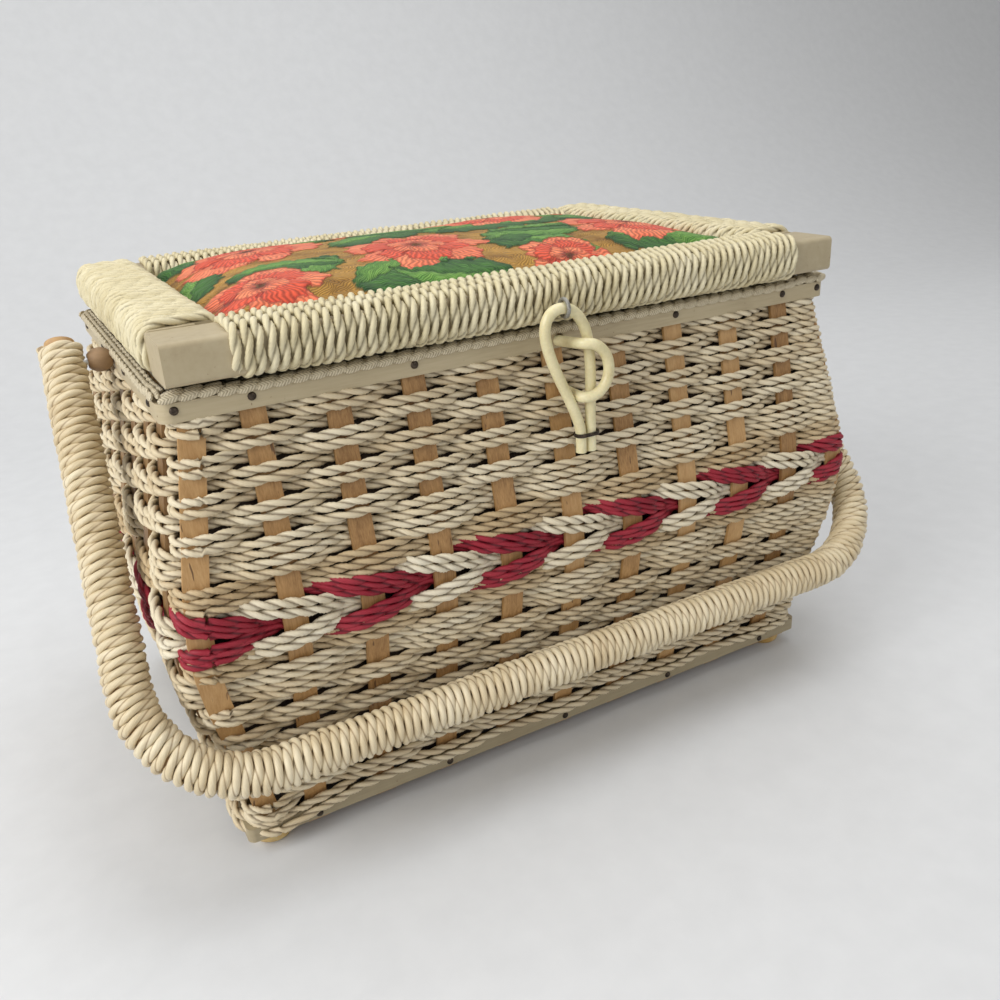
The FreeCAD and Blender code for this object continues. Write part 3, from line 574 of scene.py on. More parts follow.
def close_tree(tree, made, finish):
    """Give a tree's result its smoothing and finish, and send it out."""
    made = add_node(tree, "GeometryNodeRealizeInstances", {"Geometry": made}).outputs[0]
    made = add_node(tree, "GeometryNodeSetShadeSmooth", {"Geometry": made}).outputs[0]
    made = add_node(tree, "GeometryNodeSetMaterial", {"Geometry": made, "Material": finish}).outputs[0]
    tree.links.new(made, tree.nodes.new("NodeGroupOutput").inputs["Made"])
    return tree


def store_value(tree, geometry, name, value, kind="FLOAT"):
    inputs = {"Geometry": geometry, "Name": name, "Value": value}
    return add_node(tree, "GeometryNodeStoreNamedAttribute", inputs, data_type=kind, domain="POINT").outputs[0]


def stored_value(tree, name, kind="FLOAT_VECTOR"):
    return add_node(tree, "GeometryNodeInputNamedAttribute", {"Name": name}, data_type=kind).outputs[0]


def own_position(tree):
    return add_node(tree, "GeometryNodeInputPosition").outputs[0]


def aligned(tree, inputs, **settings):
    return add_node(tree, "FunctionNodeAlignRotationToVector", inputs, **settings).outputs[0]


def scaled(tree, geometry, size):
    return add_node(tree, "GeometryNodeTransform", {"Geometry": geometry, "Scale": size}).outputs[0]


def ball(tree, segments, rings, radius):
    inputs = {"Segments": segments, "Rings": rings, "Radius": radius}
    return add_node(tree, "GeometryNodeMeshUVSphere", inputs).outputs[0]


def on_points(tree, places, form, turn):
    inputs = {"Points": places, "Instance": form, "Rotation": turn}
    return add_node(tree, "GeometryNodeInstanceOnPoints", inputs).outputs[0]


def twisted_cord_tree(name, level):
    """Tree that lays a two-ply cord along mesh edges; level lines keep their normals upright."""
    tree, given = new_tree(name, {
        "Line": "Geometry", "Radius": "Float", "Twist Pitch": "Float", "Waist": "Float", "Ring Step": "Float",
        "Finish": "Material"})
    line = add_node(tree, "GeometryNodeMeshToCurve", {"Mesh": given["Line"]}).outputs[0]
    line = add_node(
        tree, "GeometryNodeResampleCurve", {"Curve": line, "Length": given["Ring Step"]}, mode="LENGTH").outputs[0]
    mode = "Z_UP" if level else "MINIMUM_TWIST"
    line = add_node(tree, "GeometryNodeSetCurveNormal", {"Curve": line}, mode=mode).outputs[0]
    length = add_node(tree, "GeometryNodeSplineParameter").outputs["Length"]
    turns = math_node(tree, "DIVIDE", length, given["Twist Pitch"])
    tilt = math_node(tree, "MULTIPLY_ADD", turns, 2 * math.pi, stored_value(tree, "phase", "FLOAT"))
    line = add_node(tree, "GeometryNodeSetCurveTilt", {"Curve": line, "Tilt": tilt}).outputs[0]
    line = store_value(tree, line, "along", length)
    ply = add_node(tree, "GeometryNodeCurvePrimitiveCircle", {"Resolution": 12, "Radius": 1.0}).outputs[0]
    place = own_position(tree)
    lobe = math_node(tree, "POWER", math_node(tree, "ABSOLUTE", axes_of(tree, place)[0]), 0.9)
    reach = math_node(tree, "MULTIPLY_ADD", lobe, math_node(tree, "SUBTRACT", 1.0, given["Waist"]), given["Waist"])
    shaped = add_node(tree, "ShaderNodeVectorMath", {0: place, 3: reach}, operation="SCALE").outputs[0]
    ply = add_node(tree, "GeometryNodeSetPosition", {"Geometry": ply, "Position": shaped}).outputs[0]
    ply = store_value(tree, ply, "across", own_position(tree), "FLOAT_VECTOR")
    ply = scaled(tree, ply, joined(tree, given["Radius"], given["Radius"], 1.0))
    cord = add_node(
        tree, "GeometryNodeCurveToMesh", {"Curve": line, "Profile Curve": ply, "Fill Caps": True}).outputs[0]
    return close_tree(tree, cord, given["Finish"])


def scallop_tree():
    """Tree that sets a flat rounded loop on each point, along the row and facing out."""
    tree, given = new_tree("gimp_scallops", {"Places": "Geometry", "Loop Size": "Vector", "Finish": "Material"})
    loop = store_value(tree, ball(tree, 10, 8, 0.5), "across", own_position(tree), "FLOAT_VECTOR")
    loop = scaled(tree, loop, given["Loop Size"])
    turn = aligned(tree, {"Vector": stored_value(tree, "rowwise")}, axis="X")
    turn = aligned(tree, {"Rotation": turn, "Vector": stored_value(tree, "facing")}, axis="Y", pivot_axis="X")
    return close_tree(tree, on_points(tree, given["Places"], loop, turn), given["Finish"])


def nail_tree():
    """Tree that sets a low domed head on each point, along the point's own direction."""
    tree, given = new_tree("nail_heads", {
        "Places": "Geometry", "Head Radius": "Float", "Dome Share": "Float", "Finish": "Material"})
    head = scaled(tree, ball(tree, 14, 8, given["Head Radius"]), joined(tree, 1.0, 1.0, given["Dome Share"]))
    turn = aligned(tree, {"Vector": stored_value(tree, "facing")}, axis="Z")
    return close_tree(tree, on_points(tree, given["Places"], head, turn), given["Finish"])


level_cord = twisted_cord_tree("level_cord", True)
wound_cord = twisted_cord_tree("wound_cord", False)
gimp_scallops = scallop_tree()
nail_heads = nail_tree()


def keep_result(source, name):
    """The evaluated result of a node tree as a plain mesh object; the source is removed."""
    bpy.context.view_layer.update()
    made = bpy.data.meshes.new_from_object(source.evaluated_get(bpy.context.evaluated_depsgraph_get()))
    bpy.data.objects.remove(source)
    made.name = name
    return show_mesh(name, made)


def show_mesh(name, mesh):
    piece = bpy.data.objects.new(name, mesh)
    bpy.context.scene.collection.objects.link(piece)
    return piece


def grow(name, places, edges, values, tree, **inputs):
    """Points in mm with values of their own, run through a tree, as a plain mesh object."""
    mesh = bpy.data.meshes.new(name + "_places")
    mesh.from_pydata([tuple(p) for p in placed(places)], edges, [])
    for key, store in values.items():
        store = np.array(store, np.float32)
        kind, field = ("FLOAT_VECTOR", "vector") if store.ndim == 2 else ("FLOAT", "value")
        mesh.attributes.new(key, kind, "POINT").data.foreach_set(field, store.ravel())
    source = show_mesh(name + "_places", mesh)
    modifier = source.modifiers.new("grown", "NODES")
    modifier.node_group = tree
    for item in tree.interface.items_tree:
        key = item.name.replace(" ", "_").lower()
        if item.in_out == "INPUT" and key in inputs:
            modifier[item.identifier] = inputs[key]
    return keep_result(source, name)


def set_finish(mesh, finish):
    mesh.materials.clear()
    mesh.materials.append(finish)


def plain_piece(name, points, faces, *finishes):
    """Mesh object from points in mm, smooth over its four-sided faces."""
    mesh = bpy.data.meshes.new(name)
    mesh.from_pydata([tuple(p) for p in placed(points)], [], faces)
    for finish in finishes:
        mesh.materials.append(finish)
    smooth_sides(mesh)
    return show_mesh(name, mesh)


def smooth_sides(mesh):
    for face in mesh.polygons:
        face.use_smooth = len(face.vertices) == 4


def settle(piece, body, slot, *nodes):
    """Ride a finished piece on its body and hide the nodes that it stands for; the slot is not used."""
    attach(piece, body)
    if nodes:
        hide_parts(*nodes)
    return piece


def lay_cords(name, lines, tree, radius, pitch, step, finish, waist=CORD_WAIST):
    """Cords along lines; each line is a dict of its points in mm, closed or not, and its own values."""
    edges = []
    first = 0
    values = {"tone": [], "phase": [], "stain": []}
    for line in lines:
        count = len(line["points"])
        edges += [(first + i, first + i + 1) for i in range(count - 1)]
        if line["closed"]:
            edges.append((first + count - 1, first))
        for key, store in values.items():
            store.extend(np.broadcast_to(line.get(key, 0.0), count))
        first += count
    places = np.concatenate([line["points"] for line in lines])
    return grow(
        name, places, edges, values, tree, radius=radius * MM, twist_pitch=pitch * MM, waist=waist,
        ring_step=step * MM, finish=finish)


# Lines round the wall
def level_ring(half_x, half_y, corner, step):
    """Points, outward normals and lengths round a rounded rectangle, from the front's left end."""
    flat_x = half_x - corner
    flat_y = half_y - corner
    places = [(-flat_x, -half_y)]
    angles = [-90.0]
    for centre, start in (
        ((flat_x, -flat_y), -90), ((flat_x, flat_y), 0), ((-flat_x, flat_y), 90), ((-flat_x, -flat_y), 180),
    ):
        for turn in np.linspace(start, start + 90, 13):
            way = math.radians(turn)
            places.append((centre[0] + corner * math.cos(way), centre[1] + corner * math.sin(way)))
            angles.append(turn)
    places = np.array(places)
    runs = np.concatenate([[0], np.cumsum(np.hypot(*np.diff(places, axis=0).T))])
    count = round(runs[-1] / step)
    lengths = np.arange(count) * runs[-1] / count
    x = np.interp(lengths, runs, places[:, 0])
    y = np.interp(lengths, runs, places[:, 1])
    turn = np.radians(np.interp(lengths, runs, angles))
    return np.stack([x, y], 1), np.stack([np.cos(turn), np.sin(turn)], 1), lengths, runs[-1]


STAKE_TURNS = 36


def stake_count_along(half_x, half_y, fan, lengths, total):
    """Each length along a ring as a count of stakes passed, 0 at the front's left corner stake."""
    arc = RING_CORNER * math.pi / 2
    front = [FRONT_SHIFT + i * FRONT_PITCH for i in range(-4, 5)]
    front = [-FRONT_CORNER_STAKE - fan] + front + [FRONT_CORNER_STAKE + fan]
    end = [-END_CORNER_STAKE - fan] + [i * END_PITCH for i in range(-2, 3)] + [END_CORNER_STAKE + fan]
    knots = []
    start = 0.0
    for half, stakes in ((half_x, front), (half_y, end), (half_x, front), (half_y, end)):
        flat = half - RING_CORNER
        knots += [start + flat + place for place in stakes]
        start += 2 * flat + arc
    knots = [knots[-1] - total] + knots + [knots[0] + total]
    return np.interp(lengths, knots, np.arange(-1, STAKE_TURNS + 1))


def wall_ring(z):
    """Places and normals round the wall at height z, the stakes passed at each, and half the ring's length."""
    fan = float(swell(z))
    half_x = WALL_X + fan
    half_y = WALL_Y + fan
    places, normals, lengths, total = level_ring(half_x, half_y, RING_CORNER, RING_STEP)
    return places, normals, stake_count_along(half_x, half_y, fan, lengths, total), half_x


def snapped(wave, snap):
    """A wave drawn towards its two ends, -1 and 1."""
    return np.tanh(snap * wave) / math.tanh(snap)


def before_and_behind(count):
    """Swing of a cord across the stakes: 1 before odd stakes and -1 behind even ones."""
    return -snapped(np.cos(np.pi * count), SWING_SNAP)


def covered(count):
    """1 at the two corner stakes that every cord passes before, and 0 at the other stakes."""
    near = np.min([np.abs(count - stake) for stake in COVERED_STAKES], axis=0)
    return np.exp(-(near / COVER_SPREAD) ** 2)


SLOW = ((3, 7), (9, 16), (18, 30))


def ripple(count, reach):
    """Small uneven waviness that closes round the ring."""
    total = np.zeros_like(count)
    for low, high in SLOW:
        turns = dice.randint(low, high)
        total += np.sin(2 * np.pi * count * turns / STAKE_TURNS + dice.uniform(0, 2 * np.pi))
    return reach * total / len(SLOW)


def stakes_apart(count, stake):
    """How many stakes lie between a place on the ring and a stake, the shorter way round."""
    half_round = STAKE_TURNS // 2
    return np.abs((count - stake + half_round) % STAKE_TURNS - half_round)


def hanging(z, count):
    """How far a cord near the base hangs down over the base strip, most at the front's left corner."""
    corner = np.exp(-(stakes_apart(count, 0) / SLACK_SPREAD) ** 2)
    return max(0.0, 1 - (z - BASE_TOP) / SLACK_RANGE) * (SLACK + CORNER_SLACK * corner)


CORNER_COUNTS = (-0.5, 10.5, 17.5, 28.5)


def corner_rise(z, count):
    """How far the cords by the arrow band climb where they go round a corner."""
    near = np.min([stakes_apart(count, corner) for corner in CORNER_COUNTS], axis=0)
    return CLIMB * math.exp(-((z - BELLY_Z) / CLIMB_RANGE) ** 2) * np.exp(-(near / CLIMB_SPREAD) ** 2)


def ring_line(places, normals, out, height, count, tones, twist):
    """Closed line of a cord that stands out from the wall, with a tone and a twist of its own."""
    tone = dice.uniform(*tones) + ripple(count, TONE_WANDER)
    phase = dice.uniform(0, 2 * np.pi) + ripple(count, twist)
    points = np.column_stack([places + normals * out[:, None], height])
    return {"points": points, "closed": True, "tone": tone, "phase": phase}


def course_lines(cords, top_z):
    """Cords of plain courses from the top down, each before one stake and behind the next."""
    lines = []
    z = top_z
    for order, many in enumerate(cords):
        sign = -1 if order % 2 == 0 else 1
        beside_band = many == 3
        course_middle = z - many * CORD_RISE / 2
        for cord in range(many):
            middle = z - (cord + 0.5) * CORD_RISE
            places, normals, count, half_x = wall_ring(middle)
            cover = covered(count)
            swing = sign * before_and_behind(count)
            open_out = np.clip(swing, 0, 1) * (1 - cover)
            swing = swing + (1 - swing) * cover
            out = (BAND_SWING if beside_band else WEAVE_SWING) * swing + ripple(count, OUT_WANDER)
            slack = hanging(middle, count)
            height = course_middle + (middle - course_middle) * (1 + CORD_FAN * open_out)
            height = height + ripple(count, RISE_WANDER) - slack + corner_rise(middle, count)
            out = out + SLACK_LEAN * slack
            over = np.clip((BASE_TOP + STRIP_EASE - height) / STRIP_EASE, 0, 1)
            out = out + over * np.maximum(0, STRIP_X + STRIP_SEAT * CORD_RADIUS - half_x - out)
            line = ring_line(places, normals, out, height, count, WALL_TONES, TWIST_WANDER)
            lines.append({**line, "stain": BAND_STAIN if beside_band else dice.uniform(*WALL_STAIN)})
        z -= many * CORD_RISE
    return lines


# Arrow band: two rounds of paired strokes that slope towards each other
ARROW_ROUNDS = ((120.8, 116.4, 110.7), (101.4, 104.0, 108.8))
STROKE_HIDDEN = 0.085


def stroke_lines(front_at_odd, cords, spacing):
    """Cords of each round; the strokes show before odd or before even stakes."""
    lines = []
    for start_z, middle_z, end_z in ARROW_ROUNDS:
        for cord in range(cords):
            step = cord - (cords - 1) / 2
            places, normals, count, half_x = wall_ring(middle_z)
            share = ((count + (0 if front_at_odd else 1)) % 2) / 2
            shown = np.clip((share - STROKE_HIDDEN) / (1 - 2 * STROKE_HIDDEN), 0, 1)
            bend = middle_z - (start_z + end_z) / 2
            height = start_z + (end_z - start_z) * shown + bend * 4 * shown * (1 - shown)
            back = ((share + STROKE_HIDDEN) % 1) / (2 * STROKE_HIDDEN)
            turn = np.clip(back, 0, 1)
            turn = turn * turn * (3 - 2 * turn)
            height = np.where(back < 1, end_z + (start_z - end_z) * turn, height)
            fullness = np.sin(np.pi * share)
            gap = spacing * (0.4 + 0.6 * fullness ** 1.2)
            height = height - step * gap + ripple(count, STROKE_RISE_WANDER) + corner_rise(middle_z, count)
            out = -snapped(np.cos(2 * np.pi * share), STROKE_SNAP) * STROKE_SWING
            out = out + (1.0 - fullness) * (0.7 if cord == 1 else -0.3) + ripple(count, STROKE_OUT_WANDER)
            lines.append(ring_line(places, normals, out, height, count, STROKE_TONES, STROKE_TWIST_WANDER))
    return lines


def weave_wall():
    upper = course_lines(UPPER_CORDS, RIM_BOTTOM)
    lower = course_lines(LOWER_CORDS, BAND_BOTTOM)
    for name, node, lines in (("upper_cords", "upper_courses", upper), ("lower_cords", "lower_courses", lower)):
        third = len(lines) / 3
        for part, letter in enumerate("abc"):
            chosen = lines[round(part * third):round((part + 1) * third)]
            piece = lay_cords(
                name + "_" + letter, chosen, level_cord, CORD_RADIUS, CORD_PITCH, CORD_STEP, wall_cord)
            settle(piece, "basket", "wall_cord", node)
    crimson = lay_cords(
        "crimson_strokes", stroke_lines(False, CRIMSON_CORDS, CRIMSON_SPACING), level_cord, CRIMSON_RADIUS,
        CRIMSON_PITCH, STROKE_STEP, crimson_cord)
    settle(crimson, "basket", "crimson_cord", "arrow_crimson")
    natural = lay_cords(
        "natural_strokes", stroke_lines(True, NATURAL_CORDS, NATURAL_SPACING), level_cord, NATURAL_RADIUS,
        CORD_PITCH, STROKE_STEP, pale_cord)
    settle(natural, "basket", "wall_cord", "arrow_natural")


# Gimp: a flat braid whose loops overlap in a row of scallops over the rim's edge
GIMP_ROWS = (
    ("gimp_outer", -0.4, 197.6, (8.3, 1.9, 3.3), 0.14, 0.0), ("gimp_middle", 1.7, 198.2, (8.6, 2.4, 2.3), -0.16, 0.5),
    ("gimp_inner", 3.8, 198.3, (8.6, 2.6, 2.2), 0.16, 0.25),
)


def gimp_trim():
    for name, inset, z, size, rise, shift in GIMP_ROWS:
        places, normals, lengths, total = level_ring(
            RIM_LENGTH / 2 - inset, RIM_DEPTH / 2 - inset, RIM_CORNER - inset, GIMP_STEP / GIMP_FINE)
        chosen = np.arange(len(places) // GIMP_FINE) * GIMP_FINE + round(shift * GIMP_FINE)
        chosen = chosen[chosen < len(places)]
        many = len(chosen)
        spots = np.column_stack([places[chosen], np.full(many, z)])
        spots[:, 2] += drawn(chosen, -GIMP_UNEVEN, GIMP_UNEVEN)
        beside = np.clip((np.abs(spots[:, 0]) - GIMP_LIFT_PLACE[0]) / GIMP_LIFT_EASE, 0, 1)
        beside *= np.clip((-spots[:, 1] - GIMP_LIFT_PLACE[1]) / GIMP_LIFT_EASE, 0, 1)
        spots[:, 2] += GIMP_LIFT * beside
        ways = normals[chosen]
        values = {
            "facing": np.column_stack([ways, np.full(many, GIMP_LEAN)]),
            "rowwise": np.column_stack([-ways[:, 1], ways[:, 0], np.full(many, rise)]),
        }
        piece = grow(
            name, spots, [], values, gimp_scallops, loop_size=[side * MM for side in size], finish=gimp_cord)
        settle(piece, "basket", "lid_cord", "gimp_braid")


# Windings of the lid's rails
RAIL_MIDDLE = (RAIL_BOTTOM + RAIL_TOP) / 2


def rail_winding(stretch, middle_across, half_across, half_high, along_x):
    """One cord wound round a rail, its two ends tucked in against the wood, and the pitch of its twist."""
    places, normals, lengths, total = level_ring(half_across, half_high, RAIL_CORNER, RAIL_RING_STEP)
    near, beyond = stretch
    turns = int((beyond - near - 2 * LID_CORD_RADIUS) / LID_TURN)
    run = np.arange(0, turns * total, WINDING_STEP)
    loop = run % total
    closed_lengths = np.append(lengths, total)
    across = np.interp(loop, closed_lengths, np.append(places[:, 0], places[0, 0]))
    high = np.interp(loop, closed_lengths, np.append(places[:, 1], places[0, 1]))
    turn_count = run / total
    knots = np.arange(turns + 2)
    lean = np.interp(turn_count, knots, drawn(knots, -TURN_WANDER, TURN_WANDER))
    halves = np.arange(2 * turns + 3)
    proud = np.interp(turn_count * 2, halves, drawn(halves, -TURN_PROUD, TURN_PROUD))
    tuck = np.clip(np.minimum(turn_count, turns - turn_count) * TUCK_TURNS, 0, 1)
    widen = 1 + (proud - END_TUCK * (1 - tuck)) / half_high
    far = (near + beyond) / 2 + (0.5 - turn_count / turns) * turns * LID_TURN + lean
    across = across * widen + middle_across
    high = high * widen + UNDER_RISE * np.clip(-high / half_high, 0, 1) + RAIL_MIDDLE + WINDING_RISE
    points = np.column_stack([far, across, high] if along_x else [across, far, high])
    tone = np.interp(turn_count, knots, drawn(knots, 0.3, 0.7))
    drift = 0.3 if along_x else 0.75
    phase = np.interp(turn_count, knots, np.cumsum(drawn(knots, -drift, drift)))
    pitch = 2 * math.hypot(total, LID_TURN) / LID_HALF_TWISTS
    return {"points": points, "closed": False, "tone": tone, "phase": phase}, pitch


def ease_base_strip():
    """Base strip, its lower edge a little above the board's underside."""
    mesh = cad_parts["base_hoop"].data.copy()
    for corner in mesh.vertices:
        if corner.co.z < (BASE_TOP - STRIP_EDGE) * MM:
            corner.co.z += STRIP_LIFT * MM
    # The strip takes the dimmed paint: painted shade for the shadow under the belly.
    set_finish(mesh, base_paint)
    settle(show_mesh("base_strip", mesh), "basket", "painted_strip", "base_hoop")


def wind_lid():
    half_across = RAIL_WIDTH / 2 + RAIL_SKIN
    half_high = (RAIL_TOP - RAIL_BOTTOM) / 2 + RAIL_SKIN
    for side, sign, stretch, middle in (
        ("front", -1, LID_FRONT_WRAP, LID_Y), ("back", 1, LID_BACK_WRAP, LID_Y),
        ("left", -1, LID_SIDE_WRAP, LID_X), ("right", 1, LID_SIDE_WRAP, LID_X),
    ):
        line, pitch = rail_winding(
            stretch, sign * (middle - RAIL_WIDTH / 2), half_across, half_high, middle == LID_Y)
        piece = lay_cords(
            "lid_" + side + "_winding", [line], wound_cord, LID_CORD_RADIUS, pitch, CORD_STEP, lid_cord, LID_WAIST)
        settle(piece, "lid", "lid_cord", "lid_" + side + "_wrap")


def ease_rails():
    """Rails of the lid with their sharp edges rounded over, but not those underneath."""
    for side in ("front", "back", "left", "right"):
        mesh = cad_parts["lid_" + side + "_rail"].data.copy()
        form = bmesh.new()
        form.from_mesh(mesh)
        bmesh.ops.remove_doubles(form, verts=form.verts, dist=0.01 * MM)
        bmesh.ops.dissolve_limit(form, angle_limit=math.radians(2), verts=form.verts, edges=form.edges)
        sharp = [e for e in form.edges if e.is_convex and e.calc_face_angle(0) > math.radians(30)]
        over = [e for e in sharp if max(v.co.z for v in e.verts) >= (RAIL_BOTTOM + 1) * MM]
        bmesh.ops.bevel(
            form, geom=over, offset=RAIL_ROUND * MM, segments=4, profile=0.5, affect="EDGES", clamp_overlap=True)
        form.to_mesh(mesh)
        form.free()
        set_finish(mesh, lid_wood)
        for face in mesh.polygons:
            face.use_smooth = True
        mesh.set_sharp_from_angle(angle=math.radians(40))
        piece = show_mesh("lid_" + side + "_wood", mesh)
        settle(piece, "lid", "painted_strip", "lid_" + side + "_rail")


# Handle
def handle_line(step):
    """Points, in-plane normals and lengths along the bail, hanging straight down, from the left arm's top."""
    slope = HANDLE_SPLAY / HANDLE_REACH
    top = np.array([PIVOT_X - slope * HANDLE_TOP, HANDLE_TOP])
    foot = np.array([PIVOT_X + HANDLE_SPLAY, -HANDLE_REACH])
    down = (foot - top) / np.linalg.norm(foot - top)
    turn = math.acos(np.dot(down, [-1, 0]))
    reach = HANDLE_BEND * math.tan(turn / 2)
    bend_start = foot - down * reach
    inward = np.array([down[1], -down[0]])
    centre = bend_start + inward * HANDLE_BEND
    start_angle = math.atan2(*(bend_start - centre)[::-1])
    right = [top]
    right += [
        centre + HANDLE_BEND * np.array([math.cos(a), math.sin(a)])
        for a in np.linspace(start_angle, start_angle - turn, 40)
    ]
    right = np.array(right)
    left = right * [-1, 1]
    places = np.concatenate([left, right[::-1]])
    runs = np.concatenate([[0], np.cumsum(np.hypot(*np.diff(places, axis=0).T))])
    lengths = np.arange(0, runs[-1], step)
    x = np.interp(lengths, runs, places[:, 0])
    z = np.interp(lengths, runs, places[:, 1])
    way = np.stack([np.gradient(x), np.gradient(z)], 1)
    way /= np.linalg.norm(way, axis=1)[:, None]
    return np.stack([x, z], 1), np.stack([way[:, 1], -way[:, 0]], 1), lengths


def leaned(x, depth, height):
    """Points of the hanging handle turned to its rest lean; depth is to the back, height from the pivot."""
    sine = math.sin(HANDLE_LEAN)
    cosine = math.cos(HANDLE_LEAN)
    return np.column_stack([x, depth * cosine + height * sine, PIVOT_Z + height * cosine - depth * sine])


def wind_handle():
    fine, sides, lengths = handle_line(HANDLE_FINE)
    turns = (lengths[-1] - 2 * HANDLE_END) / HANDLE_TURN
    radius = HANDLE_CORE + HANDLE_SKIN
    samples = np.arange(0, turns * 2 * math.pi, WINDING_STEP / radius)
    turn_count = samples / (2 * math.pi)
    knots = np.arange(int(turns) + 3)
    halves = np.arange(2 * len(knots))
    uneven = np.interp(turn_count, knots, drawn(knots, -HANDLE_TURN_WANDER, HANDLE_TURN_WANDER))
    spots = np.clip(HANDLE_END + turn_count * HANDLE_TURN + uneven, HANDLE_END, lengths[-1] - HANDLE_END)
    on_grip = np.clip((PIVOT_X - GRIP_END - np.abs(np.interp(spots, lengths, fine[:, 0]))) / GRIP_EASE, 0, 1)
    spots = spots - HANDLE_SLANT * on_grip * np.cos(samples)
    index = np.clip((spots / HANDLE_FINE).astype(int), 0, len(lengths) - 1)
    proud = radius + np.interp(turn_count * 2, halves, drawn(halves, -TURN_PROUD, TURN_PROUD))
    shift = sides[index] * (proud * np.cos(samples))[:, None]
    x = np.interp(spots, lengths, fine[:, 0]) + shift[:, 0]
    height = np.interp(spots, lengths, fine[:, 1]) + shift[:, 1]
    points = leaned(x, proud * np.sin(samples), height)
    tone = np.interp(turn_count, knots, drawn(knots, 0.25, 0.75))
    phase = np.interp(turn_count, knots, np.cumsum(drawn(knots, -HANDLE_TWIST_DRIFT, HANDLE_TWIST_DRIFT)))
    line = {"points": points, "closed": False, "tone": tone, "phase": phase}
    piece = lay_cords(
        "handle_winding", [line], wound_cord, HANDLE_CORD_RADIUS, HANDLE_CORD_PITCH, HANDLE_CORD_STEP, handle_cord,
        HANDLE_WAIST)
    settle(piece, "handle", "handle_cord", "handle_wrap")


# Nail heads
def set_heads(name, spots, radius, dome, finish):
    """Domed heads at (place, direction) pairs."""
    places, ways = zip(*spots)
    return grow(
        name, places, [], {"facing": ways}, nail_heads, head_radius=radius * MM, dome_share=dome, finish=finish)


def nail_strips():
    rim = []
    low = []
    for side in (-1, 1):
        places = [-side * (FRONT_SHIFT + i * FRONT_PITCH) for i in (-4, -2, 0, 2, 4)]
        low += [((x, side * (RIM_DEPTH / 2 - BASE_DRAW), BASE_NAIL_Z), (0, side, 0)) for x in places]
        if side == -1:
            places.remove(FRONT_SHIFT)
        places += [-CORNER_NAIL, CORNER_NAIL]
        rim += [((x, side * RIM_DEPTH / 2, RIM_NAIL_Z), (0, side, 0)) for x in places]
        for y in (END_PITCH, END_CORNER_STAKE):
            for sign in (-1, 1):
                rim.append(((side * RIM_LENGTH / 2, sign * y, RIM_NAIL_Z), (side, 0, 0)))
                if y == END_PITCH:
                    low.append(((side * (RIM_LENGTH / 2 - BASE_DRAW), sign * y, BASE_NAIL_Z), (side, 0, 0)))
    for name, spots, node in (("rim_nail_heads", rim, "rim_nails"), ("base_nail_heads", low, "base_nails")):
        settle(set_heads(name, spots, NAIL_RADIUS, NAIL_DOME, nail_metal), "basket", "nail_metal", node)
    slope = HANDLE_SPLAY / HANDLE_REACH
    tacks = []
    for side in (-1, 1):
        spot = leaned([side * (PIVOT_X - slope * HANDLE_TOP)], np.zeros(1), np.array([HANDLE_TOP]))[0]
        way = leaned([-side * slope], np.zeros(1), np.ones(1))[0] - [0, 0, PIVOT_Z]
        tacks.append((tuple(spot), tuple(way / np.linalg.norm(way))))
    heads = set_heads("handle_tack_heads", tacks, TACK_RADIUS, TACK_DOME, nail_metal)
    settle(heads, "handle", "nail_metal", "handle_tacks")


# Soft tubes of the latch
def tube_piece(name, points, radius):
    """Round tube on one smooth line through control points."""
    line = bpy.data.curves.new(name, "CURVE")
    line.dimensions = "3D"
    spline = line.splines.new("NURBS")
    spline.points.add(len(points) - 1)
    for point, place in zip(spline.points, placed(points)):
        point.co = (*place, 1.0)
    spline.order_u = 3
    spline.use_endpoint_u = True
    spline.resolution_u = 8
    line.bevel_depth = radius * MM
    line.bevel_resolution = 6
    line.use_fill_caps = True
    curve = bpy.data.objects.new(name + "_line", line)
    bpy.context.scene.collection.objects.link(curve)
    piece = keep_result(curve, name)
    set_finish(piece.data, soft_tube)
    smooth_sides(piece.data)
    return piece


LOOP_PLACES = (
    (5.3, 148.5), (5.7, 156.8), (3.8, 163.5), (0.0, 172.6), (-4.4, 181.6), (-8.0, 190.2), (-10.2, 198.3),
    (-9.9, 203.8), (-7.3, 208.0), (-2.3, 209.4), (3.3, 207.4), (7.4, 202.3), (9.5, 196.1), (10.5, 186.9),
    (10.6, 178.8), (10.2, 166.4), (10.1, 155.8), (10.2, 148.5),
)
KEEPER_PLACES = (
    (4.2, -93.4, 192.8), (4.2, -103.0, 193.6), (4.8, -112.0, 194.6), (10.0, -114.2, 194.2), (14.8, -114.4, 189.6),
    (16.4, -114.4, 182.8), (14.4, -114.4, 176.8), (9.6, -114.2, 173.0), (5.0, -112.5, 172.6), (4.2, -106.0, 172.9),
    (4.2, -98.4, 173.3),
)


def latch_pieces():
    loop = [(x, LATCH_Y, z) for x, z in LOOP_PLACES]
    settle(tube_piece("latch_tube", loop, TUBE_RADIUS), "latch", "soft_tube", "latch_loop")
    settle(tube_piece("keeper_tube", KEEPER_PLACES, TUBE_RADIUS), "basket", "soft_tube", "keeper_loop")


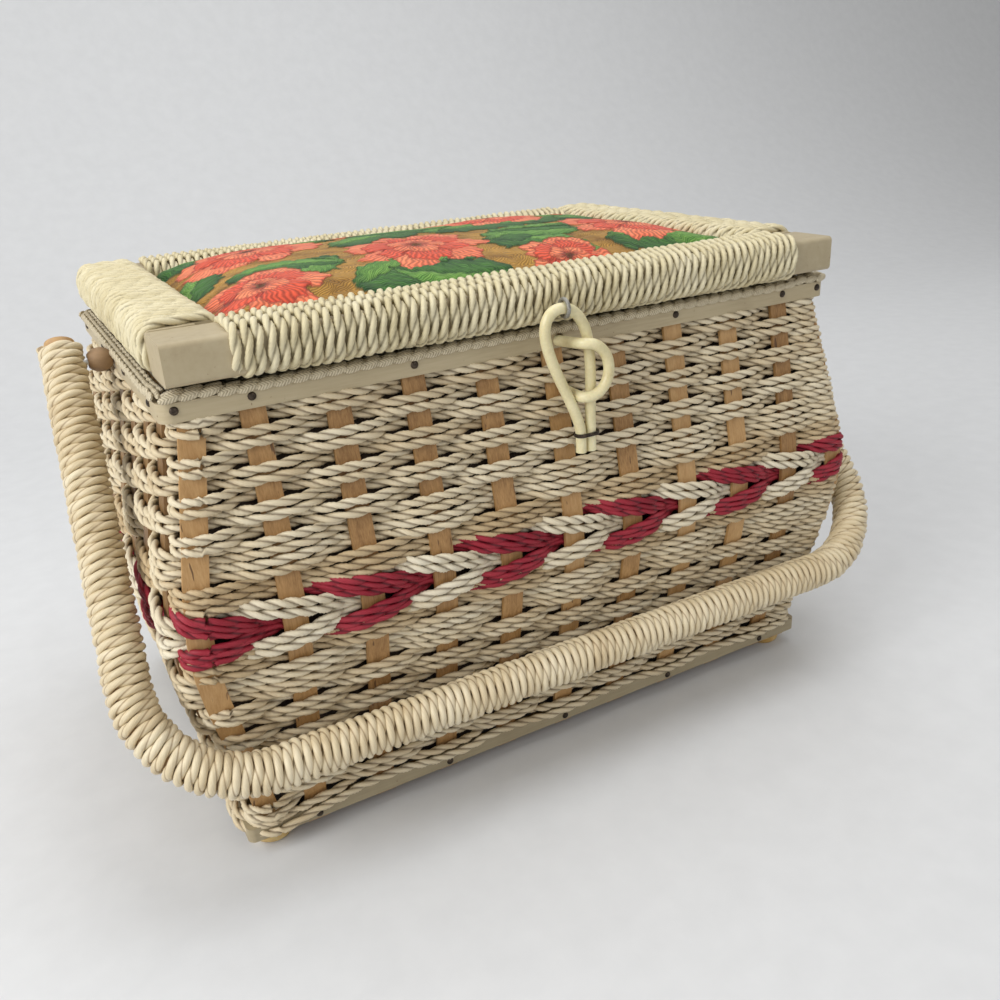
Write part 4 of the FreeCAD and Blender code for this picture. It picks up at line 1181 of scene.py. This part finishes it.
# Padded top of the lid: a flat cushion blown up as cloth, then covered with the embroidered face
def flat_cushion():
    """Plain cushion a little smaller than the pad, remeshed evenly."""
    form = bmesh.new()
    bmesh.ops.create_cube(form, size=1.0)
    low, high = PAD_SEAT, PAD_EDGE
    for corner in form.verts:
        x, y, z = corner.co
        side_x = 2 * x * (PAD_X - CUSHION_INSET)
        side_y = 2 * y * (PAD_Y - CUSHION_INSET)
        corner.co = placed([(side_x, side_y, (low + high) / 2 + z * (high - low))])[0]
    bmesh.ops.bevel(
        form, geom=list(form.edges), offset=CUSHION_ROUND * MM, segments=3, profile=0.5,
        affect="EDGES", clamp_overlap=True)
    mesh = bpy.data.meshes.new("cushion_form")
    form.to_mesh(mesh)
    form.free()
    cushion = show_mesh("cushion_form", mesh)
    even = cushion.modifiers.new("even", "REMESH")
    even.mode = "VOXEL"
    even.voxel_size = CUSHION_GRID * MM
    return keep_result(cushion, "cushion_form")


def stuffed_cushion():
    """Surface of the cushion after its stuffing has swollen it, as a tree to cast onto."""
    cushion = flat_cushion()
    mesh = cushion.data
    start = np.empty(len(mesh.vertices) * 3)
    mesh.vertices.foreach_get("co", start)
    start = start.reshape(-1, 3)
    held = cushion.vertex_groups.new(name="held")
    held.add([int(i) for i in np.nonzero(start[:, 2] < (PAD_SEAT + CUSHION_HELD) * MM)[0]], 1.0, "REPLACE")
    stuffing = cushion.modifiers.new("stuffing", "CLOTH")
    stuffing.settings.vertex_group_mass = "held"
    stuffing.settings.use_pressure = True
    stuffing.settings.uniform_pressure_force = STUFFING_PRESSURE
    stuffing.settings.effector_weights.gravity = 0.0
    stuffing.point_cache.frame_start = 1
    stuffing.point_cache.frame_end = STUFFING_FRAMES
    scene = bpy.context.scene
    for frame_number in range(1, STUFFING_FRAMES + 1):
        scene.frame_set(frame_number)
    full = cushion.evaluated_get(bpy.context.evaluated_depsgraph_get()).data
    swollen = np.empty(len(full.vertices) * 3)
    full.vertices.foreach_get("co", swollen)
    move = swollen.reshape(-1, 3) - start
    cushion.modifiers.remove(stuffing)
    scene.frame_set(1)
    size = np.linalg.norm(move, axis=1)[:, None]
    move *= np.minimum(1, PAD_CAP * MM / np.maximum(size, 1e-9))
    mesh.vertices.foreach_set("co", (start + move).ravel())
    mesh.update()
    finer = cushion.modifiers.new("finer", "SUBSURF")
    finer.levels = 2
    finer.render_levels = 2
    cushion = keep_result(cushion, "cushion_form")
    tree = BVHTree.FromPolygons(
        [tuple(v.co) for v in cushion.data.vertices], [tuple(p.vertices) for p in cushion.data.polygons])
    bpy.data.objects.remove(cushion)
    return tree


def pad_rise(x, y):
    """Height of the pad's face at each place."""
    u = np.abs(x) / PAD_X
    v = np.abs(y) / PAD_Y
    plain = (1 - np.clip(u, 0, 1) ** 4) ** 0.6 * (1 - np.clip(v, 0, 1) ** 3.2) ** 0.6
    height = PAD_LOW + (PAD_CROWN - PAD_LOW) * plain
    tree = stuffed_cushion()
    spots = placed(np.column_stack([x, y, np.full(len(x), 300.0)]))
    for i, spot in enumerate(spots):
        hit = tree.ray_cast(spot, (0, 0, -1))[0]
        height[i] = PAD_LOW if hit is None else max(PAD_LOW, hit[2] / MM)
    return np.minimum(height, PAD_CROWN)


def grid_of(columns, rows):
    """Places of a grid from -1 to 1, its faces, and its border in order."""
    u, v = np.meshgrid(np.linspace(-1, 1, columns), np.linspace(-1, 1, rows))
    faces = []
    for r in range(rows - 1):
        for a in range(r * columns, (r + 1) * columns - 1):
            faces.append((a, a + 1, a + 1 + columns, a + columns))
    border = list(range(columns))
    border += [r * columns + columns - 1 for r in range(1, rows)]
    border += [(rows - 1) * columns + c for c in range(columns - 2, -1, -1)]
    border += [r * columns for r in range(rows - 2, 0, -1)]
    return u.ravel(), v.ravel(), faces, border


def pad_piece():
    columns = round(2 * PAD_X / PAD_STEP) + 1
    rows = round(2 * PAD_Y / PAD_STEP) + 1
    u, v, faces, border = grid_of(columns, rows)
    x = u * PAD_X * (1 - 0.006 * (1 - v ** 2))
    y = v * PAD_Y * (1 - 0.01 * (1 - u ** 2))
    height = pad_rise(x, y)
    dye, thread, raised = embroider(u * PAD_X, v * PAD_Y)
    border_x = (1 - np.abs(u)) * PAD_X
    border_y = (1 - np.abs(v)) * PAD_Y
    nearest = np.minimum(border_x, border_y)
    pulled = PAD_PULL * np.sin(y * 0.55 + 1.3 * np.sin(y * 0.11)) * np.exp(-border_x / PAD_PULL_REACH)
    pulled += PAD_PULL * np.sin(x * 0.5 + 1.7 * np.sin(x * 0.07)) * np.exp(-border_y / PAD_PULL_REACH)
    z = height - PAD_SINK + raised * np.clip(nearest / 6, 0, 1) + pulled * np.clip(nearest / 2, 0, 1)
    top = np.column_stack([x, y, z])
    hem = top[border]
    hem[:, 2] = PAD_SEAT
    first = len(top)
    total = len(border)
    for i in range(total):
        j = (i + 1) % total
        faces.append((border[j], border[i], first + i, first + j))
    faces.append(tuple(first + i for i in reversed(range(total))))
    piece = plain_piece("floral_pad", np.concatenate([top, hem]), faces, floral_cloth)
    full_dye = np.ones((first + total, 4), np.float32)
    full_dye[:, :3] = np.concatenate([dye, dye[border]])
    piece.data.attributes.new("dye", "FLOAT_COLOR", "POINT").data.foreach_set("color", full_dye.ravel())
    full_thread = np.concatenate([thread, thread[border]]).astype(np.float32)
    piece.data.attributes.new("thread", "FLOAT", "POINT").data.foreach_set("value", full_thread)
    settle(piece, "lid", "floral_cloth", "lid_cushion")


# Embroidery of the pad: a plain garden pattern of open blooms and leaves on a feather-stitched ground
def dye_colour(red, green, blue):
    return np.array(linear(red, green, blue)[:3])


CORAL = dye_colour(218, 86, 58)
PEACH = dye_colour(236, 134, 94)
SCARLET = dye_colour(196, 50, 48)
WINE = dye_colour(112, 20, 30)
OCHRE = dye_colour(188, 142, 62)
UMBER = dye_colour(134, 94, 34)
LEAF = dye_colour(78, 130, 52)
PALE_LEAF = dye_colour(134, 180, 84)
DEEP_LEAF = dye_colour(30, 68, 34)
FEATHER_ROW = 7.5
GROUND_THREAD = 1.7
SATIN_THREAD = 1.5
BLOOMS = (
    (-84, 32, 34, 6, 0.3), (-24, -26, 32, 7, 1.1), (44, 38, 33, 6, 2.0), (90, -26, 34, 6, 0.9),
    (-100, -46, 27, 5, 0.1), (-28, 62, 22, 5, 0.6), (112, 58, 22, 5, 2.4), (32, -64, 22, 5, 1.4),
)
LEAVES = (
    (-52, 4, 15, 72, 32), (-60, -18, -150, 52, 27), (-122, -14, 60, 50, 25), (-122, 66, -30, 54, 26),
    (-56, 62, 175, 58, 28), (0, 2, 40, 56, 28), (4, 8, -6, 68, 32), (8, -30, -40, 56, 27),
    (10, -34, 20, 62, 30), (52, 0, 38, 56, 27), (72, 10, 5, 60, 30), (80, 70, 190, 46, 25),
    (122, 2, 100, 48, 25), (60, -52, -15, 62, 29), (-66, -62, 10, 60, 29), (2, -66, 165, 52, 25),
    (-12, 34, 110, 42, 24), (-4, 64, 10, 60, 28), (-106, -14, -25, 50, 25), (120, -62, 150, 50, 25),
    (-34, 34, -20, 48, 24), (60, -30, 160, 44, 23), (-46, 30, 100, 42, 22), (96, 24, 60, 44, 23),
)


def shade_between(first, second, share):
    return first + (second - first) * np.clip(share, 0, 1)[:, None]


def embroider(x, y):
    """Colour, thread phase and raised height of the stitches at each place of the pad, in mm."""
    rng = np.random.default_rng(7)
    wander = 2.2 * np.sin(x * 0.075 + 1.3 * np.sin(y * 0.06)) + 1.6 * np.sin(y * 0.09 + 0.8 * np.sin(x * 0.11))
    x = x + 0.55 * np.sin(y * 0.7 + x * 0.31) + 0.4 * np.sin(y * 1.3)
    y = y + 0.55 * np.sin(x * 0.66 + y * 0.27) + 0.4 * np.sin(x * 1.21)
    band = (y + wander) / FEATHER_ROW
    fold = np.abs((band % 2) - 1) * FEATHER_ROW
    thread = (x + 1.3 * fold) * 2 * np.pi / GROUND_THREAD
    uneven = 0.5 + 0.5 * np.sin(x * 0.21 + 2 * np.sin(y * 0.13)) * np.sin(y * 0.17 + 1.7 * np.sin(x * 0.12))
    dye = shade_between(OCHRE, UMBER, 0.7 * uneven ** 1.5 + 0.5 * np.exp(-(fold / 1.2) ** 2))
    raised = 0.3 * np.sin(fold / FEATHER_ROW * np.pi)
    for cx, cy, angle, length, width in LEAVES:
        way = math.radians(angle)
        along = ((x - cx) * math.cos(way) + (y - cy) * math.sin(way)) / length
        side = -(x - cx) * math.sin(way) + (y - cy) * math.cos(way)
        side = side - 0.08 * length * np.sin(np.clip(along, 0, 1) * np.pi)
        lobes = 1 + 0.1 * np.sin(along * 30 + cx) + 0.06 * np.sin(along * 57)
        limit = width / 2 * np.sin(np.pi * np.clip(along, 0, 1) ** 0.72) ** 0.75 * lobes
        inside = (along > 0) & (along < 1) & (np.abs(side) < limit)
        rel = np.abs(side) / np.maximum(limit, 1e-6)
        lie = (along * length - np.abs(side) * 1.35) * 2 * np.pi / SATIN_THREAD
        streak = 0.5 + 0.5 * np.sin(lie * 0.31 + 2 * np.sin(along * 9 + cx))
        upper = shade_between(PALE_LEAF, LEAF, 0.25 + 0.6 * rel + 0.5 * (streak - 0.4))
        lower = shade_between(LEAF, DEEP_LEAF, 0.1 + 0.55 * rel + 0.55 * (streak - 0.4))
        tint = np.where((side > 0)[:, None], upper, lower)
        vein = np.exp(-(side / 0.7) ** 2)
        edge = np.clip((rel - 0.86) / 0.14, 0, 1)
        tint = shade_between(tint, DEEP_LEAF, np.maximum(vein * 0.85, edge * 0.7))
        tint = shade_between(tint, DEEP_LEAF, 0.75 * np.clip(0.16 - along, 0, 1) / 0.16)
        dye = np.where(inside[:, None], tint, dye)
        thread = np.where(inside, lie, thread)
        raised = np.where(inside, 0.4 + 0.8 * np.sqrt(np.clip(1 - rel ** 2, 0, 1)) - 0.5 * vein, raised)
    for cx, cy, size, petals, turn in BLOOMS:
        away = np.hypot(x - cx, y - cy)
        around = np.arctan2(y - cy, x - cx)
        for ring, (reach, edge_tint, heart, count, offset) in enumerate((
            (1.0, PEACH, SCARLET, petals, 0.0), (0.74, CORAL, WINE, petals - 1, 0.5),
            (0.42, PEACH, WINE, petals - 2, 0.2),
        )):
            spin = around + turn + offset * 2 * np.pi / count + 0.16 * np.sin(3 * around + cx)
            spin = spin + 0.1 * np.sin(away * 0.21 + cy)
            petal = np.abs(np.cos(count / 2 * spin))
            limit = size * reach * (0.6 + 0.4 * petal ** 0.5) * (1 + 0.035 * np.sin(around * 17 + cy))
            inside = away < limit
            rel = away / np.maximum(limit, 1e-6)
            wave = around * size * 0.9 + 2.8 * np.sin(around * 4 + cx) + 1.3 * np.sin(away * 0.2 + around * 2)
            streak = 0.5 + 0.5 * np.sin(wave)
            tint = shade_between(heart, edge_tint, rel * 1.9 - 0.2 + 0.4 * (streak - 0.5))
            tint = shade_between(tint, CORAL, 0.4 * (0.5 + 0.5 * np.sin(wave * 0.23 + cx)))
            seam = np.clip((0.3 - petal) / 0.3, 0, 1) * np.clip(rel * 1.8 - 0.3, 0, 1)
            tint = shade_between(tint, WINE, seam * 0.7)
            tint = shade_between(tint, SCARLET, 0.5 * np.clip((rel - 0.93) / 0.07, 0, 1))
            dye = np.where(inside[:, None], tint, dye)
            lie = around * size * reach * 0.55 * 2 * np.pi / SATIN_THREAD
            thread = np.where(inside, lie, thread)
            lift = 0.5 + 0.4 * ring + 0.7 * np.sqrt(np.clip(1 - (2 * rel - 1) ** 2, 0, 1)) - 0.6 * seam
            raised = np.where(inside, lift, raised)
        seeds = away < size * 0.085
        dye = np.where(seeds[:, None], shade_between(WINE, UMBER, rng.random(len(x))), dye)
    return dye, thread, raised * 0.8


# Linings: stretched cloth inside the basket and under the lid
def lining_ring(z, inset, folds):
    """Closed ring of the basket's lining at height z, with its folds set inward."""
    out = float(swell(z)) - inset
    places, normals, lengths, total = level_ring(WALL_X + out, WALL_Y + out, LINING_CORNER, 0.5)
    spots = np.arange(LINING_RING) * total / LINING_RING
    steps = np.append(lengths, total)
    around = np.hstack([places, normals])
    around = np.vstack([around, around[:1]])
    x, y, way_x, way_y = (np.interp(spots, steps, column) for column in around.T)
    return np.column_stack([x - way_x * folds, y - way_y * folds, np.full(LINING_RING, z)])


def line_basket():
    low, seam, top = BOARD_TOP + 0.1, RIM_BOTTOM - 0.5, RIM_TOP - 0.2
    spots = np.arange(LINING_RING) * 2 * math.pi / LINING_RING
    gathers = 0.5 + 0.3 * np.sin(spots * 46 + 2 * np.sin(spots * 5)) + 0.2 * np.sin(spots * 83 + np.sin(spots * 7))
    hem = [seam + HEM_STEP, seam + 2 * HEM_STEP, top]
    outside = []
    inside = []
    for z in np.concatenate([np.linspace(low, seam, LINING_ROWS), hem]):
        inset = LINING_INSET if z <= seam else HEM_INSET
        fullness = np.sin(np.pi * np.clip((z - low) / (seam - low), 0, 1)) ** 0.6 if z < seam else 0.0
        folds = LINING_FOLD * fullness * gathers
        outside.append(lining_ring(z, inset, np.zeros(LINING_RING)))
        inside.append(lining_ring(max(z, low + LINING_THICK), inset + LINING_THICK, folds))
    rings = outside + inside[::-1]
    faces = []
    last = (len(rings) - 1) * LINING_RING
    for start in range(0, last, LINING_RING):
        for i in range(LINING_RING):
            a, b = start + i, start + (i + 1) % LINING_RING
            faces.append((a, b, b + LINING_RING, a + LINING_RING))
    faces.append(tuple(reversed(range(LINING_RING))))
    faces.append(tuple(last + i for i in range(LINING_RING)))
    piece = plain_piece("basket_lining", np.concatenate(rings), faces, lining_cloth, lining_back)
    # The outer faces and the outer floor take the dark back cloth, painted shade seen through the gaps between the
    # cords.
    behind = (len(outside) - 1) * LINING_RING
    for number, face in enumerate(piece.data.polygons):
        face.material_index = 1 if number < behind or number == len(faces) - 2 else 0
    settle(piece, "basket", "lining_cloth", "lining")


def line_lid():
    """Thin cloth panel under the lid's board, sagging a little between its edges."""
    u, v, over, border = grid_of(*LID_LINING_GRID)
    drop = LID_LINING_SAG * ((1 - u ** 4) * (1 - v ** 4)) ** 0.5
    drop += 0.12 * np.sin(u * 19 + 2 * np.sin(v * 3)) * (1 - u ** 2) * (1 - v ** 2)
    x = u * LID_LINING_X * (1 - 0.02 * np.abs(v) ** 8)
    y = v * LID_LINING_Y * (1 - 0.03 * np.abs(u) ** 8)
    above = np.column_stack([x, y, LID_BOARD_BOTTOM - 0.05 - drop])
    below = above - [0, 0, LID_LINING_THICK]
    count = len(above)
    faces = over + [tuple(count + corner for corner in reversed(face)) for face in over]
    for i, here in enumerate(border):
        after = border[(i + 1) % len(border)]
        faces.append((after, here, count + here, count + after))
    piece = plain_piece("lid_inner_cloth", np.concatenate([above, below]), faces, lining_cloth)
    piece.data.set_sharp_from_angle(angle=math.radians(50))
    settle(piece, "lid", "lining_cloth", "lid_lining")


# Feet: turned amber buttons
FOOT_OUTLINE = ((7.9, 5.0), (8.6, 4.2), (8.7, 2.6), (8.3, 1.0), (7.4, 0.2), (5.0, 0.0))
FOOT_SIDES = 28


def amber_feet():
    turns = np.arange(FOOT_SIDES) * 2 * math.pi / FOOT_SIDES
    verts = []
    faces = []
    for side_x, side_y in ((-1, -1), (-1, 1), (1, -1), (1, 1)):
        first = len(verts)
        for radius, z in FOOT_OUTLINE:
            verts += [
                (side_x * FOOT_X + radius * math.cos(a), side_y * FOOT_Y + radius * math.sin(a), z) for a in turns]
        last = len(verts) - FOOT_SIDES
        faces.append(tuple(range(first, first + FOOT_SIDES)))
        faces.append(tuple(reversed(range(last, last + FOOT_SIDES))))
        for row in range(first, last, FOOT_SIDES):
            for i in range(FOOT_SIDES):
                a, b = row + i, row + (i + 1) % FOOT_SIDES
                faces.append((b, a, a + FOOT_SIDES, b + FOOT_SIDES))
    settle(plain_piece("amber_feet", verts, faces, foot_amber), "basket", "foot_amber", "feet")


# Finishes of the solids that stay
def finish_nodes():
    finishes = {
        "front_stakes": front_cane, "back_stakes": front_cane, "left_stakes": end_cane, "right_stakes": end_cane,
        "rim_hoop": painted_strip, "inner_hoop": plain_wood,
        "base_board": plain_wood, "lid_board": plain_wood, "handle_core": plain_wood,
        "rim_hinge_leaves": hinge_brass, "lid_hinge_leaves": hinge_brass, "hinge_pins": bright_steel,
        "handle_screws": bright_steel, "latch_eye": eye_wire, "loop_tie": nail_metal,
        "handle_beads": bead_wood,
    }
    for node, finish in finishes.items():
        set_finish(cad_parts[node].data, finish)


# Room, light and camera
def studio():
    front, back, bend, height, half = -2.4, 0.55, 0.75, 3.2, 3.2
    profile = [(front, 0.0), (back, 0.0)]
    for turn in np.linspace(0, 90, 19)[1:]:
        way = math.radians(turn)
        profile.append((back + bend * math.sin(way), bend - bend * math.cos(way)))
    profile.append((back + bend, height))
    verts = []
    for y, z in profile:
        verts += [(-half, y, z), (half, y, z)]
    faces = [(2 * i, 2 * i + 1, 2 * i + 3, 2 * i + 2) for i in range(len(profile) - 1)]
    mesh = bpy.data.meshes.new("paper_sweep")
    mesh.from_pydata(verts, [], faces)
    for face in mesh.polygons:
        face.use_smooth = True
    tree, surface, material = new_finish("paper_sweep", 0.9)
    grain = noise(tree, 60.0)
    colour = ramp(tree, grain, (0.3, linear(210, 211, 212)), (0.7, linear(214, 215, 216)))
    dress(tree, surface, {"Base Color": colour, "Specular IOR Level": 0.1})
    mesh.materials.append(material)
    show_mesh("paper_sweep", mesh)

    def softbox(name, place, target, size, power):
        lamp = bpy.data.lights.new(name, "AREA")
        lamp.shape = "RECTANGLE"
        lamp.size, lamp.size_y = size
        lamp.energy = power
        holder = bpy.data.objects.new(name, lamp)
        aim = Vector(target) - Vector(place)
        holder.location = place
        holder.rotation_euler = aim.to_track_quat("-Z", "Y").to_euler()
        bpy.context.scene.collection.objects.link(holder)

    softbox("key_softbox", (-1.05, -0.28, 0.72), (0, 0, 0.1), (0.8, 0.8), 11.5)
    softbox("top_softbox", (0.35, 0.2, 1.7), (0, 0, 0.1), (1.8, 1.4), 16.5)
    softbox("fill_softbox", (0.5, -1.4, 0.8), (0, 0, 0.1), (0.9, 0.9), 2.4)
    world = bpy.data.worlds.new("studio_air")
    world.use_nodes = True
    air = world.node_tree.nodes["Background"]
    dress(world.node_tree, air, {"Color": (1.0, 0.995, 0.985, 1.0), "Strength": 0.4})
    bpy.context.scene.world = world


def photo_camera():
    """Camera of the photograph: place in mm, heading, tilt and roll in degrees."""
    place = Vector((-196.3, -408.45, 285.2)) * MM
    heading, tilt, roll = (math.radians(a) for a in (27.9, 23.12, -3.47))
    forward = Vector((
        math.sin(heading) * math.cos(tilt), math.cos(heading) * math.cos(tilt), -math.sin(tilt)))
    level = Vector((math.cos(heading), -math.sin(heading), 0))
    upright = level.cross(forward)
    right = math.cos(roll) * level + math.sin(roll) * upright
    up = -math.sin(roll) * level + math.cos(roll) * upright
    lens = bpy.data.cameras.new("photo_camera")
    lens.sensor_fit = "HORIZONTAL"
    lens.sensor_width = 36.0
    lens.lens = 34.01
    lens.clip_start = 0.01
    camera = bpy.data.objects.new("photo_camera", lens)
    turn = Matrix((right, up, -forward)).transposed().to_4x4()
    camera.matrix_world = Matrix.Translation(place) @ turn
    bpy.context.scene.collection.objects.link(camera)
    bpy.context.scene.camera = camera


photo_camera()
studio()
finish_nodes()
weave_wall()
gimp_trim()
wind_lid()
ease_rails()
ease_base_strip()
wind_handle()
nail_strips()
amber_feet()
latch_pieces()
pad_piece()
line_basket()
line_lid()
bpy.context.scene.view_settings.view_transform = "Standard"

bpy.context.view_layer.update()
